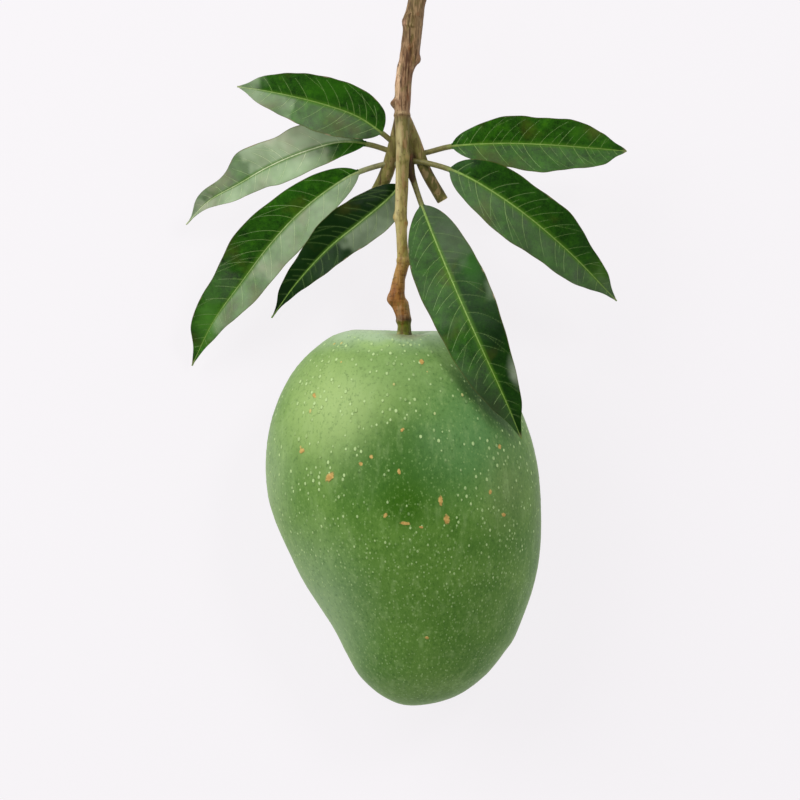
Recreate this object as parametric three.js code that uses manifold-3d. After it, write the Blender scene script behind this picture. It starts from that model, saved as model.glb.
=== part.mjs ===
// A green mango picked with its leafy twig, lying on one cheek.
// Millimetres, +Z up. The origin is on the small flat spot that the fruit rests on, within 3 mm of
// the spot's middle, and +Y points from the fruit's tip to the cut end of the twig.
import * as THREE from "three";
import { mergeVertices } from "three/addons/utils/BufferGeometryUtils.js";
import Module from "manifold-3d";

const wasm = await Module();
wasm.setup();

// Driving dimensions
const FRUIT_HALF_WIDTH = 47.1; // half the broad face, at its widest
const CHEEK_HALF_THICKNESS = 41.5; // half the fruit from cheek to cheek, before its stem end is narrowed
const CHEEK_DROP = 39.8; // from the fruit's middle down to the lowest point of its cheek, still round
const FLAT_SPOT_DEPTH = 0.9; // how much of the lower cheek the rest spot takes off
const FRUIT_MIDDLE_Z = CHEEK_DROP - FLAT_SPOT_DEPTH;
const SEAT_GAP = 0.3; // clearance between pieces that meet
const BLADE_THICKNESS = 0.75;
const PETIOLE_RADIUS = 0.95;
const MIDRIB_TIP_RADIUS = 0.45;

// The fruit's outline seen on its broad face, from the stem end to the tip:
// the height on the long axis, and how far the flesh reaches to the left and right there.
const FRUIT_OUTLINE = [
  { y: 58.7, left: -0.5, right: -0.5 },
  { y: 58.7, left: -19.0, right: 12.5 },
  { y: 53.4, left: -30.2, right: 21.8 },
  { y: 40.9, left: -41.0, right: 34.8 },
  { y: 22.2, left: -47.4, right: 43.4 },
  { y: 0.0, left: -47.1, right: 47.1 },
  { y: -22.9, left: -37.8, right: 46.0 },
  { y: -44.4, left: -24.8, right: 39.4 },
  { y: -53.0, left: -20.4, right: 34.3 },
  { y: -61.4, left: -15.2, right: 27.2 },
  { y: -68.6, left: -6.8, right: 15.9 },
  { y: -71.4, left: 2.4, right: 2.4 },
];
const FRUIT_FLATNESS = CHEEK_HALF_THICKNESS / FRUIT_HALF_WIDTH;
const STEM_LIFT = 6; // how far the stem end leans to the upper cheek
const STEM_LIFT_FADE = 4; // the power by which the lean dies away towards the tip
const STEM_NARROWING = 0.16; // how much flatter the stem end is than the middle, seen from its side
const STEM_NARROWING_FADE = 3; // the power by which that dies away towards the tip
const FRUIT_ROWS = 38;
const FRUIT_SIDES = 40;
const ROW_CROWDING = 0.07; // how much closer the rows stand at the two ends than in the middle

// The dimple that the stalk grows from. It sits a little towards the upper cheek.
const STEM_X = -0.5;
const STEM_Z = FRUIT_MIDDLE_Z + 8.7;
const DIMPLE_DEPTH = 4.2;
const DIMPLE_RADIUS = 8;
const DIMPLE_FADE = { none: 30, whole: 52 }; // heights between which the dimple's pull comes in

// The flat surface that the fruit lies on, as a block that trims the lower cheek.
const TABLE_WIDTH = 200;
const TABLE_DEPTH = 20;

// Stalk stations from the fruit up to the cut end of the twig: place and radius.
const STALK = [
  { at: [-0.4, 51.8, 47.2], r: 2.9 },
  { at: [-0.3, 56.4, 47.5], r: 2.6 },
  { at: [-0.3, 60.4, 47.7], r: 2.25 },
  { at: [-0.9, 64.8, 47.9], r: 2.6 },
  { at: [-2.5, 70.0, 48.1], r: 2.5 },
  { at: [-2.2, 75.6, 48.3], r: 2.15 },
  { at: [-0.8, 81.6, 48.5], r: 2.0 },
  { at: [-1.1, 90.1, 48.7], r: 1.85 },
  { at: [-1.4, 98.8, 48.8], r: 2.1 },
  { at: [-1.1, 107.5, 48.8], r: 2.2 },
  { at: [-0.9, 121.3, 48.6], r: 2.25 },
  { at: [-1.0, 131.0, 48.0], r: 2.5 },
  { at: [-0.8, 138.7, 47.4], r: 2.65 },
  { at: [-0.2, 147.3, 47.0], r: 2.75 },
  { at: [1.4, 152.8, 46.8], r: 3.15 },
  { at: [2.1, 158.0, 46.7], r: 3.25 },
  { at: [2.9, 164.4, 46.6], r: 3.3 },
  { at: [3.8, 170.4, 46.5], r: 3.0 },
  { at: [5.0, 176.0, 46.5], r: 2.9 },
];
// Knuckles, leaf scars and rings on the stalk: height on the axis, reach out from the surface,
// length along the stalk, and the side they face (degrees from +X towards +Z, or all round).
const STALK_SWELLINGS = [
  { y: 62.0, reach: 0.35, length: 0.9, facing: null },
  { y: 69.8, reach: 1.3, length: 1.8, facing: 170 },
  { y: 67.2, reach: 0.5, length: 1.6, facing: 30 },
  { y: 82.4, reach: 0.8, length: 1.2, facing: 15 },
  { y: 82.6, reach: 0.3, length: 0.9, facing: null },
  { y: 97.6, reach: 0.8, length: 1.5, facing: 160 },
  { y: 95.4, reach: 0.45, length: 1.2, facing: 20 },
  { y: 118.4, reach: 0.55, length: 1.5, facing: 40 },
  { y: 132.6, reach: 0.4, length: 0.8, facing: null },
  { y: 136.6, reach: 1.6, length: 1.4, facing: 172 },
  { y: 152.6, reach: 0.9, length: 1.4, facing: -8 },
  { y: 165.0, reach: 0.8, length: 1.8, facing: 150 },
];
const SWELLING_SHARPNESS = 3; // the power by which a swelling that faces one side dies away round it
// The short branches at the leaf whorl: two side stalks cut short, and the bud between the leaves.
const BRANCHES = [
  [
    { at: [-1.4, 132.0, 46.6], r: 2.2 },
    { at: [-3.6, 122.5, 44.0], r: 2.3 },
    { at: [-6.4, 113.2, 40.8], r: 2.4 },
    { at: [-10.4, 105.2, 37.6], r: 2.45 },
  ],
  [
    { at: [-0.6, 132.6, 46.4], r: 2.2 },
    { at: [3.0, 124.4, 44.6], r: 2.3 },
    { at: [7.2, 113.8, 43.4], r: 2.0 },
    { at: [13.1, 103.6, 42.6], r: 2.0 },
  ],
  [
    { at: [-0.4, 128.0, 46.0], r: 1.8 },
    { at: [0.6, 121.0, 44.9], r: 2.2 },
    { at: [1.3, 115.6, 44.6], r: 1.9 },
    { at: [2.4, 111.6, 44.8], r: 1.25 },
    { at: [3.0, 109.4, 45.0], r: 0.6 },
  ],
];
const STALK_SIDES = 16;
const STALK_STEP = 1.4; // length between two rings of the stalk
const BRANCH_SIDES = 10;
const BRANCH_STEP = 3;

// Each leaf: its midrib from the whorl to the tip, how much of that is petiole, the widest reach
// of each half with the powers that shape its base and tip, its fold and roll in degrees (the roll
// at its base, middle and tip), and the waves of its margin: up and down, and in and out.
const LEAVES = [
  {
    name: "leaf_upper_left",
    midrib: [
      [-0.2, 122.4, 45.0],
      [-3.8, 123.6, 44.9],
      [-7.6, 126.4, 46.8],
      [-16.3, 132.0, 50.5],
      [-30.0, 136.6, 53.5],
      [-47.1, 140.6, 52.0],
      [-57.7, 142.6, 47.5],
    ],
    petiole: 0.15,
    left: { reach: 10.0, base: 0.6, tip: 0.95 },
    right: { reach: 10.4, base: 0.52, tip: 0.9 },
    fold: 20,
    roll: [0, -8, -6],
    wave: { height: 0.7, ripple: 0.2, turns: 1.6, start: 0.2 },
  },
  {
    name: "leaf_middle_left",
    midrib: [
      [-0.3, 119.0, 44.4],
      [-4.4, 120.4, 44.0],
      [-12.2, 122.9, 43.6],
      [-21.8, 123.9, 42.4],
      [-34.1, 121.0, 39.5],
      [-46.7, 116.2, 34.5],
      [-58.0, 110.3, 28.5],
      [-69.0, 104.6, 21.5],
      [-77.4, 97.0, 12.0],
    ],
    petiole: 0.15,
    left: { reach: 8.0, base: 0.7, tip: 1.35 },
    right: { reach: 9.4, base: 0.8, tip: 1.3 },
    fold: 16,
    roll: [0, 8, 14],
    wave: { height: 1.5, ripple: 0.8, turns: 3.1, start: 0.55 },
  },
  {
    name: "leaf_lower_left",
    midrib: [
      [-0.3, 116.2, 44.2],
      [-4.4, 116.6, 43.6],
      [-17.0, 113.1, 42.6],
      [-25.9, 108.0, 41.2],
      [-36.9, 99.4, 37.8],
      [-47.1, 88.8, 32.8],
      [-57.4, 75.8, 25.6],
      [-67.4, 62.7, 16.8],
      [-75.8, 47.0, 5.6],
    ],
    petiole: 0.14,
    left: { reach: 10.2, base: 0.62, tip: 1.05 },
    right: { reach: 11.4, base: 0.7, tip: 0.9 },
    fold: 20,
    roll: [0, 4, 10],
    wave: { height: 1.1, ripple: 0.5, turns: 2.6, start: 0.1 },
  },
  {
    name: "leaf_centre_left",
    midrib: [
      [0.8, 113.2, 43.4],
      [-3.8, 106.4, 42.3],
      [-14.9, 96.5, 45.0],
      [-25.9, 87.4, 46.2],
      [-36.9, 75.8, 42.4],
      [-46.4, 63.4, 33.5],
    ],
    petiole: 0.07,
    left: { reach: 8.4, base: 0.5, tip: 1.35 },
    right: { reach: 8.6, base: 0.55, tip: 1.1 },
    fold: 15,
    roll: [0, 4, 6],
    wave: { height: 0.9, ripple: 0.4, turns: 2.1, start: 0.45 },
  },
  {
    name: "leaf_centre_right",
    midrib: [
      [2.0, 113.4, 44.6],
      [2.9, 110.4, 45.0],
      [5.3, 103.1, 46.8],
      [9.6, 91.2, 53.5],
      [17.6, 71.3, 65.0],
      [25.5, 53.0, 71.0],
      [34.3, 33.9, 68.6],
      [39.6, 21.6, 61.5],
    ],
    petiole: 0.12,
    left: { reach: 11.6, base: 0.6, tip: 0.9 },
    right: { reach: 12.2, base: 0.6, tip: 0.95 },
    fold: 12,
    roll: [0, 8, 12],
    wave: { height: 0.9, ripple: 0.3, turns: 2.2, start: 0.7 },
  },
  {
    name: "leaf_lower_right",
    midrib: [
      [0.8, 117.2, 44.6],
      [4.6, 117.0, 46.0],
      [14.4, 114.3, 49.4],
      [23.2, 110.3, 51.4],
      [39.1, 99.9, 52.4],
      [56.6, 85.6, 46.5],
      [73.7, 69.3, 33.0],
    ],
    petiole: 0.17,
    left: { reach: 10.4, base: 0.52, tip: 0.9 },
    right: { reach: 11.2, base: 0.6, tip: 0.98 },
    fold: 15,
    roll: [0, -4, 4],
    wave: { height: 1.0, ripple: 0.5, turns: 2.7, start: 0.3 },
  },
  {
    name: "leaf_upper_right",
    midrib: [
      [0.8, 120.2, 44.2],
      [6.1, 120.0, 43.6],
      [15.6, 122.2, 44.0],
      [31.1, 123.2, 44.6],
      [47.0, 123.0, 43.4],
      [63.0, 122.1, 40.0],
      [77.1, 121.3, 34.0],
    ],
    petiole: 0.2,
    left: { reach: 10.0, base: 0.62, tip: 0.75 },
    right: { reach: 9.6, base: 0.66, tip: 0.75 },
    fold: 16,
    roll: [0, 4, -4],
    wave: { height: 0.9, ripple: 0.45, turns: 2.6, start: 0.0 },
  },
];
const LEAF_STATIONS = 27;
const LEAF_COLUMNS = [-1, -0.66, -0.33, 0, 0.33, 0.66, 1]; // shares of the reach on either side
const FOLD_EASING = 0.12; // the share of the blade over which the fold opens
const FULL_WAVE_REACH = 6; // where the blade is narrower than this, its wave is lower too

const DEGREES = Math.PI / 180;

// Joins grids of points into one closed mesh. Each ring has the same count of points.
function skin(rings, firstPole, lastPole) {
  const positions = [];
  const faces = [];
  const count = rings[0].length;
  for (const ring of rings) {
    for (const point of ring) positions.push(point.x, point.y, point.z);
  }
  for (let i = 0; i + 1 < rings.length; i++) {
    for (let j = 0; j < count; j++) {
      const a = i * count + j;
      const b = i * count + ((j + 1) % count);
      faces.push(a, b, b + count, a, b + count, a + count);
    }
  }
  const poles = [
    { point: firstPole, row: 0, flip: false },
    { point: lastPole, row: rings.length - 1, flip: true },
  ];
  for (const { point, row, flip } of poles) {
    const pole = positions.length / 3;
    positions.push(point.x, point.y, point.z);
    for (let j = 0; j < count; j++) {
      const a = row * count + j;
      const b = row * count + ((j + 1) % count);
      if (flip) faces.push(a, b, pole);
      else faces.push(b, a, pole);
    }
  }
  return closedGeometry(positions, faces);
}

function closedGeometry(positions, faces) {
  const geometry = new THREE.BufferGeometry();
  geometry.setAttribute("position", new THREE.Float32BufferAttribute(positions, 3));
  geometry.setIndex(faces);
  return geometry;
}

function toSolid(geometry) {
  const merged = mergeVertices(geometry, 1e-4);
  const mesh = new wasm.Mesh({
    numProp: 3,
    vertProperties: merged.attributes.position.array,
    triVerts: new Uint32Array(merged.index.array),
  });
  return new wasm.Manifold(mesh);
}

function toGeometry(solid) {
  const mesh = solid.getMesh();
  return closedGeometry(Array.from(mesh.vertProperties), Array.from(mesh.triVerts));
}

function largestBody(solid) {
  return solid.decompose().reduce((a, b) => (b.volume() > a.volume() ? b : a));
}

// The fruit's outline as a closed curve: down the left side, then up the right side.
function outlineCurve() {
  const points = [];
  for (const row of FRUIT_OUTLINE) points.push(new THREE.Vector3(row.left, row.y, 0));
  for (let i = FRUIT_OUTLINE.length - 2; i > 0; i--) {
    points.push(new THREE.Vector3(FRUIT_OUTLINE[i].right, FRUIT_OUTLINE[i].y, 0));
  }
  return new THREE.CatmullRomCurve3(points, true, "catmullrom", 0.5);
}

// The hollow round the stalk pulls the stem end in, most where the stalk grows.
function dimple(point) {
  const away = Math.hypot(point.x - STEM_X, point.z - STEM_Z) / DIMPLE_RADIUS;
  const nearTop = THREE.MathUtils.smoothstep(point.y, DIMPLE_FADE.none, DIMPLE_FADE.whole);
  point.y -= DIMPLE_DEPTH * Math.exp(-away * away) * nearTop;
  return point;
}

// Oval sections from the stem end to the tip, each as wide as the outline at its row.
function fruitGeometry() {
  const curve = outlineCurve();
  const rings = [];
  for (let row = 1; row < FRUIT_ROWS; row++) {
    const even = row / FRUIT_ROWS;
    const along = even - ROW_CROWDING * Math.sin(2 * Math.PI * even);
    const left = curve.getPoint(along / 2);
    const right = curve.getPoint(1 - along / 2);
    const middle = left.clone().add(right).multiplyScalar(0.5);
    const reach = right.clone().sub(left).multiplyScalar(0.5);
    const stemLift = STEM_LIFT * Math.pow(1 - along, STEM_LIFT_FADE);
    const narrowing = STEM_NARROWING * Math.pow(1 - along, STEM_NARROWING_FADE);
    const flatness = FRUIT_FLATNESS * (1 - narrowing);
    const ring = [];
    for (let side = 0; side < FRUIT_SIDES; side++) {
      const angle = (2 * Math.PI * side) / FRUIT_SIDES;
      const point = middle.clone().addScaledVector(reach, Math.cos(angle));
      point.z = FRUIT_MIDDLE_Z + stemLift + reach.length() * flatness * Math.sin(angle);
      ring.push(dimple(point));
    }
    rings.push(ring);
  }
  const stemPole = curve.getPoint(0);
  stemPole.z = FRUIT_MIDDLE_Z + STEM_LIFT;
  const tipPole = curve.getPoint(0.5);
  tipPole.z = FRUIT_MIDDLE_Z;
  return skin(rings, dimple(stemPole), tipPole);
}

function fruitSolid() {
  const flesh = toSolid(fruitGeometry());
  const table = new THREE.BoxGeometry(TABLE_WIDTH, TABLE_WIDTH, TABLE_DEPTH);
  table.deleteAttribute("normal");
  table.deleteAttribute("uv");
  table.translate(0, 0, -TABLE_DEPTH / 2);
  return flesh.subtract(toSolid(table));
}

// How far a swelling pushes the bark out at a height and an angle round the stalk.
function swellingAt(y, angle) {
  let push = 0;
  for (const swelling of STALK_SWELLINGS) {
    const along = (y - swelling.y) / swelling.length;
    let round = 1;
    if (swelling.facing !== null) {
      const towards = Math.max(0, Math.cos(angle - swelling.facing * DEGREES));
      round = Math.pow(towards, SWELLING_SHARPNESS);
    }
    push += swelling.reach * Math.exp(-along * along) * round;
  }
  return push;
}

// A tube of changing radius through the stations, with its ends closed.
// grow makes it fatter and longer by that much, for cutting a clearance.
function tubeSolid(stations, sides, stepLength, grow, swell) {
  const points = stations.map((s) => new THREE.Vector3(...s.at));
  const curve = new THREE.CatmullRomCurve3(points, false, "centripetal");
  const steps = Math.ceil(curve.getLength() / stepLength);
  const rings = [];
  const centres = [];
  for (let i = 0; i <= steps; i++) {
    const t = i / steps;
    const centre = curve.getPoint(t);
    const along = curve.getTangent(t);
    const place = t * (stations.length - 1);
    const k = Math.min(Math.floor(place), stations.length - 2);
    const radius = THREE.MathUtils.lerp(stations[k].r, stations[k + 1].r, place - k);
    const across = new THREE.Vector3(0, 0, 1).cross(along).normalize();
    const up = along.clone().cross(across).normalize();
    if (i === 0) centre.addScaledVector(along, -grow);
    if (i === steps) centre.addScaledVector(along, grow);
    const ring = [];
    for (let j = 0; j < sides; j++) {
      const angle = (2 * Math.PI * j) / sides;
      const reach = radius + grow + swell(centre.y, Math.PI - angle);
      const point = centre.clone().addScaledVector(across, reach * Math.cos(angle));
      ring.push(point.addScaledVector(up, reach * Math.sin(angle)));
    }
    rings.push(ring);
    centres.push(centre);
  }
  return toSolid(skin(rings, centres[0], centres[centres.length - 1]));
}

// The stalk and its short branches joined into one body.
function stalkSolid(grow) {
  const plain = () => 0;
  let whole = tubeSolid(STALK, STALK_SIDES, STALK_STEP, grow, swellingAt);
  for (const stations of BRANCHES) {
    whole = whole.add(tubeSolid(stations, BRANCH_SIDES, BRANCH_STEP, grow, plain));
  }
  return whole;
}

// The share of a half's reach at a place along the blade, 1 where it is widest.
function halfProfile(half, along) {
  const { base, tip } = half;
  const peak = base / (base + tip);
  const most = Math.pow(peak, base) * Math.pow(1 - peak, tip);
  return (Math.pow(along, base) * Math.pow(1 - along, tip)) / most;
}

// One leaf with its petiole: thin sections across the midrib, thickest on the midrib.
function leafSolid(leaf) {
  const curve = new THREE.CatmullRomCurve3(
    leaf.midrib.map((p) => new THREE.Vector3(...p)),
    false,
    "centripetal",
  );
  const rings = [];
  const middles = [];
  for (let i = 0; i <= LEAF_STATIONS; i++) {
    const t = i / LEAF_STATIONS;
    const centre = curve.getPointAt(t);
    const along = curve.getTangentAt(t);
    const blade = THREE.MathUtils.clamp((t - leaf.petiole) / (1 - leaf.petiole), 0, 1);
    const turn = THREE.MathUtils.lerp(
      THREE.MathUtils.lerp(leaf.roll[0], leaf.roll[1], Math.min(1, blade * 2)),
      leaf.roll[2],
      Math.max(0, blade * 2 - 1),
    );
    const across = along.clone().cross(new THREE.Vector3(0, 0, 1)).normalize();
    across.applyAxisAngle(along, turn * DEGREES);
    const up = across.clone().cross(along).normalize();
    const ribRadius = THREE.MathUtils.lerp(PETIOLE_RADIUS, MIDRIB_TIP_RADIUS, Math.sqrt(blade));
    const fold = leaf.fold * DEGREES * THREE.MathUtils.smoothstep(blade, 0, FOLD_EASING);
    const wave = Math.sin(2 * Math.PI * (leaf.wave.turns * blade + leaf.wave.start));
    const upper = [];
    const lower = [];
    for (const column of LEAF_COLUMNS) {
      const half = column < 0 ? leaf.left : leaf.right;
      const side = Math.sign(column);
      const ripple = leaf.wave.ripple * wave * side * Math.sin(Math.PI * blade);
      const reach = Math.max(ribRadius, half.reach * halfProfile(half, blade) + ripple);
      const out = Math.abs(column) * reach;
      const waveHeight = leaf.wave.height * Math.min(1, reach / FULL_WAVE_REACH);
      const lift = out * Math.sin(fold) + waveHeight * wave * side * column * column;
      const point = centre
        .clone()
        .addScaledVector(across, side * out * Math.cos(fold))
        .addScaledVector(up, lift);
      const rib = Math.sqrt(Math.max(0, 1 - (out / ribRadius) ** 2));
      const thick = BLADE_THICKNESS + Math.max(0, 2 * ribRadius - BLADE_THICKNESS) * rib;
      upper.push(point.clone().addScaledVector(up, BLADE_THICKNESS / 2));
      lower.push(point.clone().addScaledVector(up, BLADE_THICKNESS / 2 - thick));
    }
    rings.push([...upper, ...lower.reverse()]);
    middles.push(centre);
  }
  return toSolid(skin(rings, middles[0], middles[middles.length - 1]));
}

const fruitSkin = new THREE.MeshStandardMaterial({ color: 0x648f4a, roughness: 0.45 });
const bark = new THREE.MeshStandardMaterial({ color: 0x8f7f52, roughness: 0.8 });
const leafGreen = new THREE.MeshStandardMaterial({ color: 0x2f5f2a, roughness: 0.4 });

function addPiece(group, name, solid, material) {
  const piece = new THREE.Mesh(toGeometry(solid), material);
  piece.name = name;
  group.add(piece);
}

const mango = new THREE.Group();
const fruit = fruitSolid();
addPiece(mango, "fruit", fruit, fruitSkin);

const seat = fruit.translate([0, SEAT_GAP, 0]);
addPiece(mango, "stalk", largestBody(stalkSolid(0).subtract(seat)), bark);

const stalkClearance = stalkSolid(SEAT_GAP);
for (const leaf of LEAVES) {
  addPiece(mango, leaf.name, largestBody(leafSolid(leaf).subtract(stalkClearance)), leafGreen);
}

export default mango;
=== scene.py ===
"""A green mango picked with its leafy twig, lying on one cheek in soft studio light.

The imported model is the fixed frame, and each of its nodes is replaced by a finer piece of the same
form: the fruit in its waxy skin, the stalk in its bark, and seven leaves with their veins.
Sizes are in millimetres until a mesh is made, with +Z up and +Y from the fruit's tip to the twig.
"""

import logging
import math
from collections.abc import Callable, Sequence
from dataclasses import dataclass, field
from enum import Enum
from functools import partial
from typing import TypeVar

import bmesh
import bpy
import numpy as np
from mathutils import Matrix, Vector, noise
from mathutils.bvhtree import BVHTree
from mathutils.kdtree import KDTree


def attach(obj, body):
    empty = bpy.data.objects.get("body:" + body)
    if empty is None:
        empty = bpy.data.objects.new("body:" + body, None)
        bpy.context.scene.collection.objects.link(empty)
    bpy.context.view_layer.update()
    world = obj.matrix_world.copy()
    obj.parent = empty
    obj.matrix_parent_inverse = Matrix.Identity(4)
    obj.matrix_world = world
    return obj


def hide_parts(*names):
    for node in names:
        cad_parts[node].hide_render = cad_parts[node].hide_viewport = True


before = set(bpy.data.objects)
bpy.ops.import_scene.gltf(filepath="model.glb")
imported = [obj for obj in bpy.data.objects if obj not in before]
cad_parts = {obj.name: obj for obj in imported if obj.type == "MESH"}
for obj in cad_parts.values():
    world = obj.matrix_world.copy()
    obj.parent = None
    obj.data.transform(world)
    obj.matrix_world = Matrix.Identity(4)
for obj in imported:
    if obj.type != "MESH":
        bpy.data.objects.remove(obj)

log = logging.getLogger("mango")

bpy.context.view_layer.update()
BODY = "root"
MM = 0.001

Point = tuple[float, float, float]
Socket = bpy.types.NodeSocket
Kind = TypeVar("Kind")


class Slot(Enum):
    """The record's material slots."""

    SKIN = "skin"
    BARK = "bark"
    LEAF = "leaf"


class Side(Enum):
    """The two halves of a blade, seen from above with the tip ahead."""

    LEFT = -1
    RIGHT = 1


def table(kind: type[Kind], *rows: tuple) -> tuple[Kind, ...]:
    """One object of a kind for each row of its values."""
    return tuple(kind(*row) for row in rows)


def linear_colour(hex_colour: str) -> tuple[float, float, float, float]:
    """Turns an sRGB hex value into a linear colour.

    Args:
        hex_colour: Six hex digits, such as "5f9440".

    Returns:
        Red, green, blue and an alpha of 1.
    """
    channels = [int(hex_colour[i : i + 2], 16) / 255 for i in (0, 2, 4)]
    linear = [c / 12.92 if c <= 0.04045 else ((c + 0.055) / 1.055) ** 2.4 for c in channels]
    return (*linear, 1.0)


def per_metre(size: float) -> float:
    """Texture scale of a pattern whose real size is given in millimetres."""
    return 1.0 / (size * MM)


def add_node(
    tree: bpy.types.NodeTree,
    kind: str,
    inputs: dict | None = None,
    out: int | str = 0,
    ramp: Sequence[tuple[float, str]] = (),
    **settings: object,
) -> Socket | None:
    """Adds a node with its settings and links.

    Args:
        tree: The tree that gets the node.
        kind: The node's type name.
        inputs: Input name or number, and the value or the output socket that goes into it.
        out: Name or number of the output that is wanted.
        ramp: Positions and sRGB hex colours, for a colour ramp.
        **settings: The node's own properties.

    Returns:
        That output of the new node, or none where it has no outputs.
    """
    node = tree.nodes.new(kind)
    for name, value in settings.items():
        setattr(node, name, value)
    for key, value in (inputs or {}).items():
        socket = node.inputs[key]
        if isinstance(value, Socket):
            tree.links.new(value, socket)
        else:
            socket.default_value = value
    for i, (position, colour) in enumerate(ramp):
        stops = node.color_ramp.elements
        stop = stops[i] if i < len(stops) else stops.new(position)
        stop.position = position
        stop.color = linear_colour(colour)
    return node.outputs[out] if node.outputs else None


def smoothstep(value: np.ndarray, low: float, high: float) -> np.ndarray:
    """Eases from 0 at low to 1 at high."""
    share = np.clip((value - low) / (high - low), 0.0, 1.0)
    return share * share * (3.0 - 2.0 * share)


def unit(vectors: np.ndarray) -> np.ndarray:
    """Scales each row to a length of 1."""
    return vectors / np.linalg.norm(vectors, axis=-1, keepdims=True)


def round_angles(count: int) -> np.ndarray:
    """Evenly spaced angles once round."""
    return 2 * np.pi * np.arange(count) / count


@dataclass(frozen=True)
class Lumps:
    """Smooth noise: its height, the size of a lump in millimetres, its seed and its stretch."""

    height: float
    size: float
    seed: float = 0.0
    stretch: Point = (1.0, 1.0, 1.0)

    def at(self, places: np.ndarray) -> np.ndarray:
        """Reads it at many places.

        Args:
            places: Points in millimetres, one row each.

        Returns:
            One value for each point, between about minus and plus the height.
        """
        shift = Vector((self.seed, self.seed * 1.7, -self.seed))
        spots = [Vector(spot) / self.size + shift for spot in (places * self.stretch).tolist()]
        return self.height * np.array([noise.noise(spot) for spot in spots])


class SmoothPath:
    """A Catmull-Rom curve, read by parameter or by length."""

    SAMPLES = 1500

    def __init__(self, points: Sequence[Sequence[float]], closed: bool = False) -> None:
        """Fits the curve: even spacing where it is closed, centripetal where it is open.

        Args:
            points: What the curve runs through.
            closed: Whether it runs back to its start.
        """
        stations = np.array(points, float)
        self.closed = closed
        if closed:
            self.knots = np.concatenate([stations[-1:], stations, stations[:2]])
        else:
            before = 2 * stations[0] - stations[1]
            after = 2 * stations[-1] - stations[-2]
            self.knots = np.concatenate([before[None], stations, after[None]])
        self.spans = len(stations) if closed else len(stations) - 1
        steps = np.diff(self.at(np.linspace(0.0, 1.0, self.SAMPLES)), axis=0)
        self.lengths = np.concatenate([[0.0], np.cumsum(np.linalg.norm(steps, axis=1))])
        self.length = float(self.lengths[-1])

    def at(self, share: np.ndarray) -> np.ndarray:
        """Points at shares of the parameter from 0 to 1.

        Args:
            share: Values from 0 at the start to 1 at the end.

        Returns:
            One point for each share.
        """
        place = np.asarray(share, float) * self.spans
        span = np.minimum(np.floor(place).astype(int), self.spans - 1)
        t = (place - span)[:, None]
        p0, p1, p2, p3 = (self.knots[span + i] for i in range(4))
        power = 0.0 if self.closed else 0.5
        d0, d1, d2 = (
            np.linalg.norm(b - a, axis=1, keepdims=True) ** power
            for a, b in ((p0, p1), (p1, p2), (p2, p3))
        )
        start = ((p1 - p0) / d0 - (p2 - p0) / (d0 + d1) + (p2 - p1) / d1) * d1
        end = ((p2 - p1) / d1 - (p3 - p1) / (d1 + d2) + (p3 - p2) / d2) * d1
        square = -3 * p1 + 3 * p2 - 2 * start - end
        cube = 2 * p1 - 2 * p2 + start + end
        return p1 + start * t + square * t**2 + cube * t**3

    def by_length(self, share: np.ndarray) -> tuple[np.ndarray, np.ndarray]:
        """Reads the curve at shares of its length.

        Args:
            share: Values from 0 at the start to 1 at the end.

        Returns:
            The points there, and the unit directions.
        """
        knots = np.linspace(0.0, 1.0, self.SAMPLES)
        parameter = np.interp(np.asarray(share) * self.length, self.lengths, knots)
        low, high = (np.clip(parameter + step / self.SAMPLES, 0.0, 1.0) for step in (-1.0, 1.0))
        return self.at(parameter), unit(self.at(high) - self.at(low))


def mesh_object(name: str, mesh: bpy.types.Mesh) -> bpy.types.Object:
    """Makes an object of a mesh and puts it into the scene.

    Args:
        name: The object's name.
        mesh: Its mesh.

    Returns:
        The new object.
    """
    piece = bpy.data.objects.new(name, mesh)
    bpy.context.scene.collection.objects.link(piece)
    return piece


def shell_object(name: str, shell: bmesh.types.BMesh, mesh: bpy.types.Mesh) -> bpy.types.Object:
    """Turns a shell's faces outwards and makes it a smoothly shaded object of the mesh.

    Args:
        name: The object's name.
        shell: The faces. It is freed here.
        mesh: The mesh that takes the faces.

    Returns:
        The new object.
    """
    bmesh.ops.recalc_face_normals(shell, faces=shell.faces)
    shell.to_mesh(mesh)
    shell.free()
    mesh.shade_smooth()
    return mesh_object(name, mesh)


def loft(name: str, rings: np.ndarray, ends: np.ndarray) -> bpy.types.Object:
    """Joins rings of points into one closed, smoothly shaded piece.

    Args:
        name: The piece's name.
        rings: Points in millimetres, by ring and by place round it.
        ends: The two points that close the first and the last ring.

    Returns:
        The piece, with its faces pointing outwards.
    """
    count, sides, _ = rings.shape
    here = np.arange(count * sides).reshape(count, sides)
    beside = np.roll(here, -1, axis=1)
    walls = np.stack([here[:-1], beside[:-1], beside[1:], here[1:]], axis=-1)
    faces = walls.reshape(-1, 4).tolist()
    faces += [(b, a, count * sides) for a, b in zip(here[0].tolist(), beside[0].tolist())]
    faces += [(a, b, count * sides + 1) for a, b in zip(here[-1].tolist(), beside[-1].tolist())]
    mesh = bpy.data.meshes.new(name)
    mesh.from_pydata((np.concatenate([rings.reshape(-1, 3), ends]) * MM).tolist(), [], faces)
    shell = bmesh.new()
    shell.from_mesh(mesh)
    return shell_object(name, shell, mesh)


def mark(piece: bpy.types.Object, name: str, values: np.ndarray) -> None:
    """Stores one number for each vertex, for the piece's material to read."""
    layer = piece.data.attributes.new(name, "FLOAT", "POINT")
    layer.data.foreach_set("value", np.asarray(values, np.float32).ravel())


def read_vectors(rows: bpy.types.bpy_prop_collection, name: str) -> np.ndarray:
    """Reads one vector from each item of a mesh's collection.

    Args:
        rows: The vertices, or their normals.
        name: What to read from each.

    Returns:
        One row for each item.
    """
    vectors = np.empty(len(rows) * 3, np.float32)
    rows.foreach_get(name, vectors)
    return vectors.reshape(-1, 3)


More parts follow.
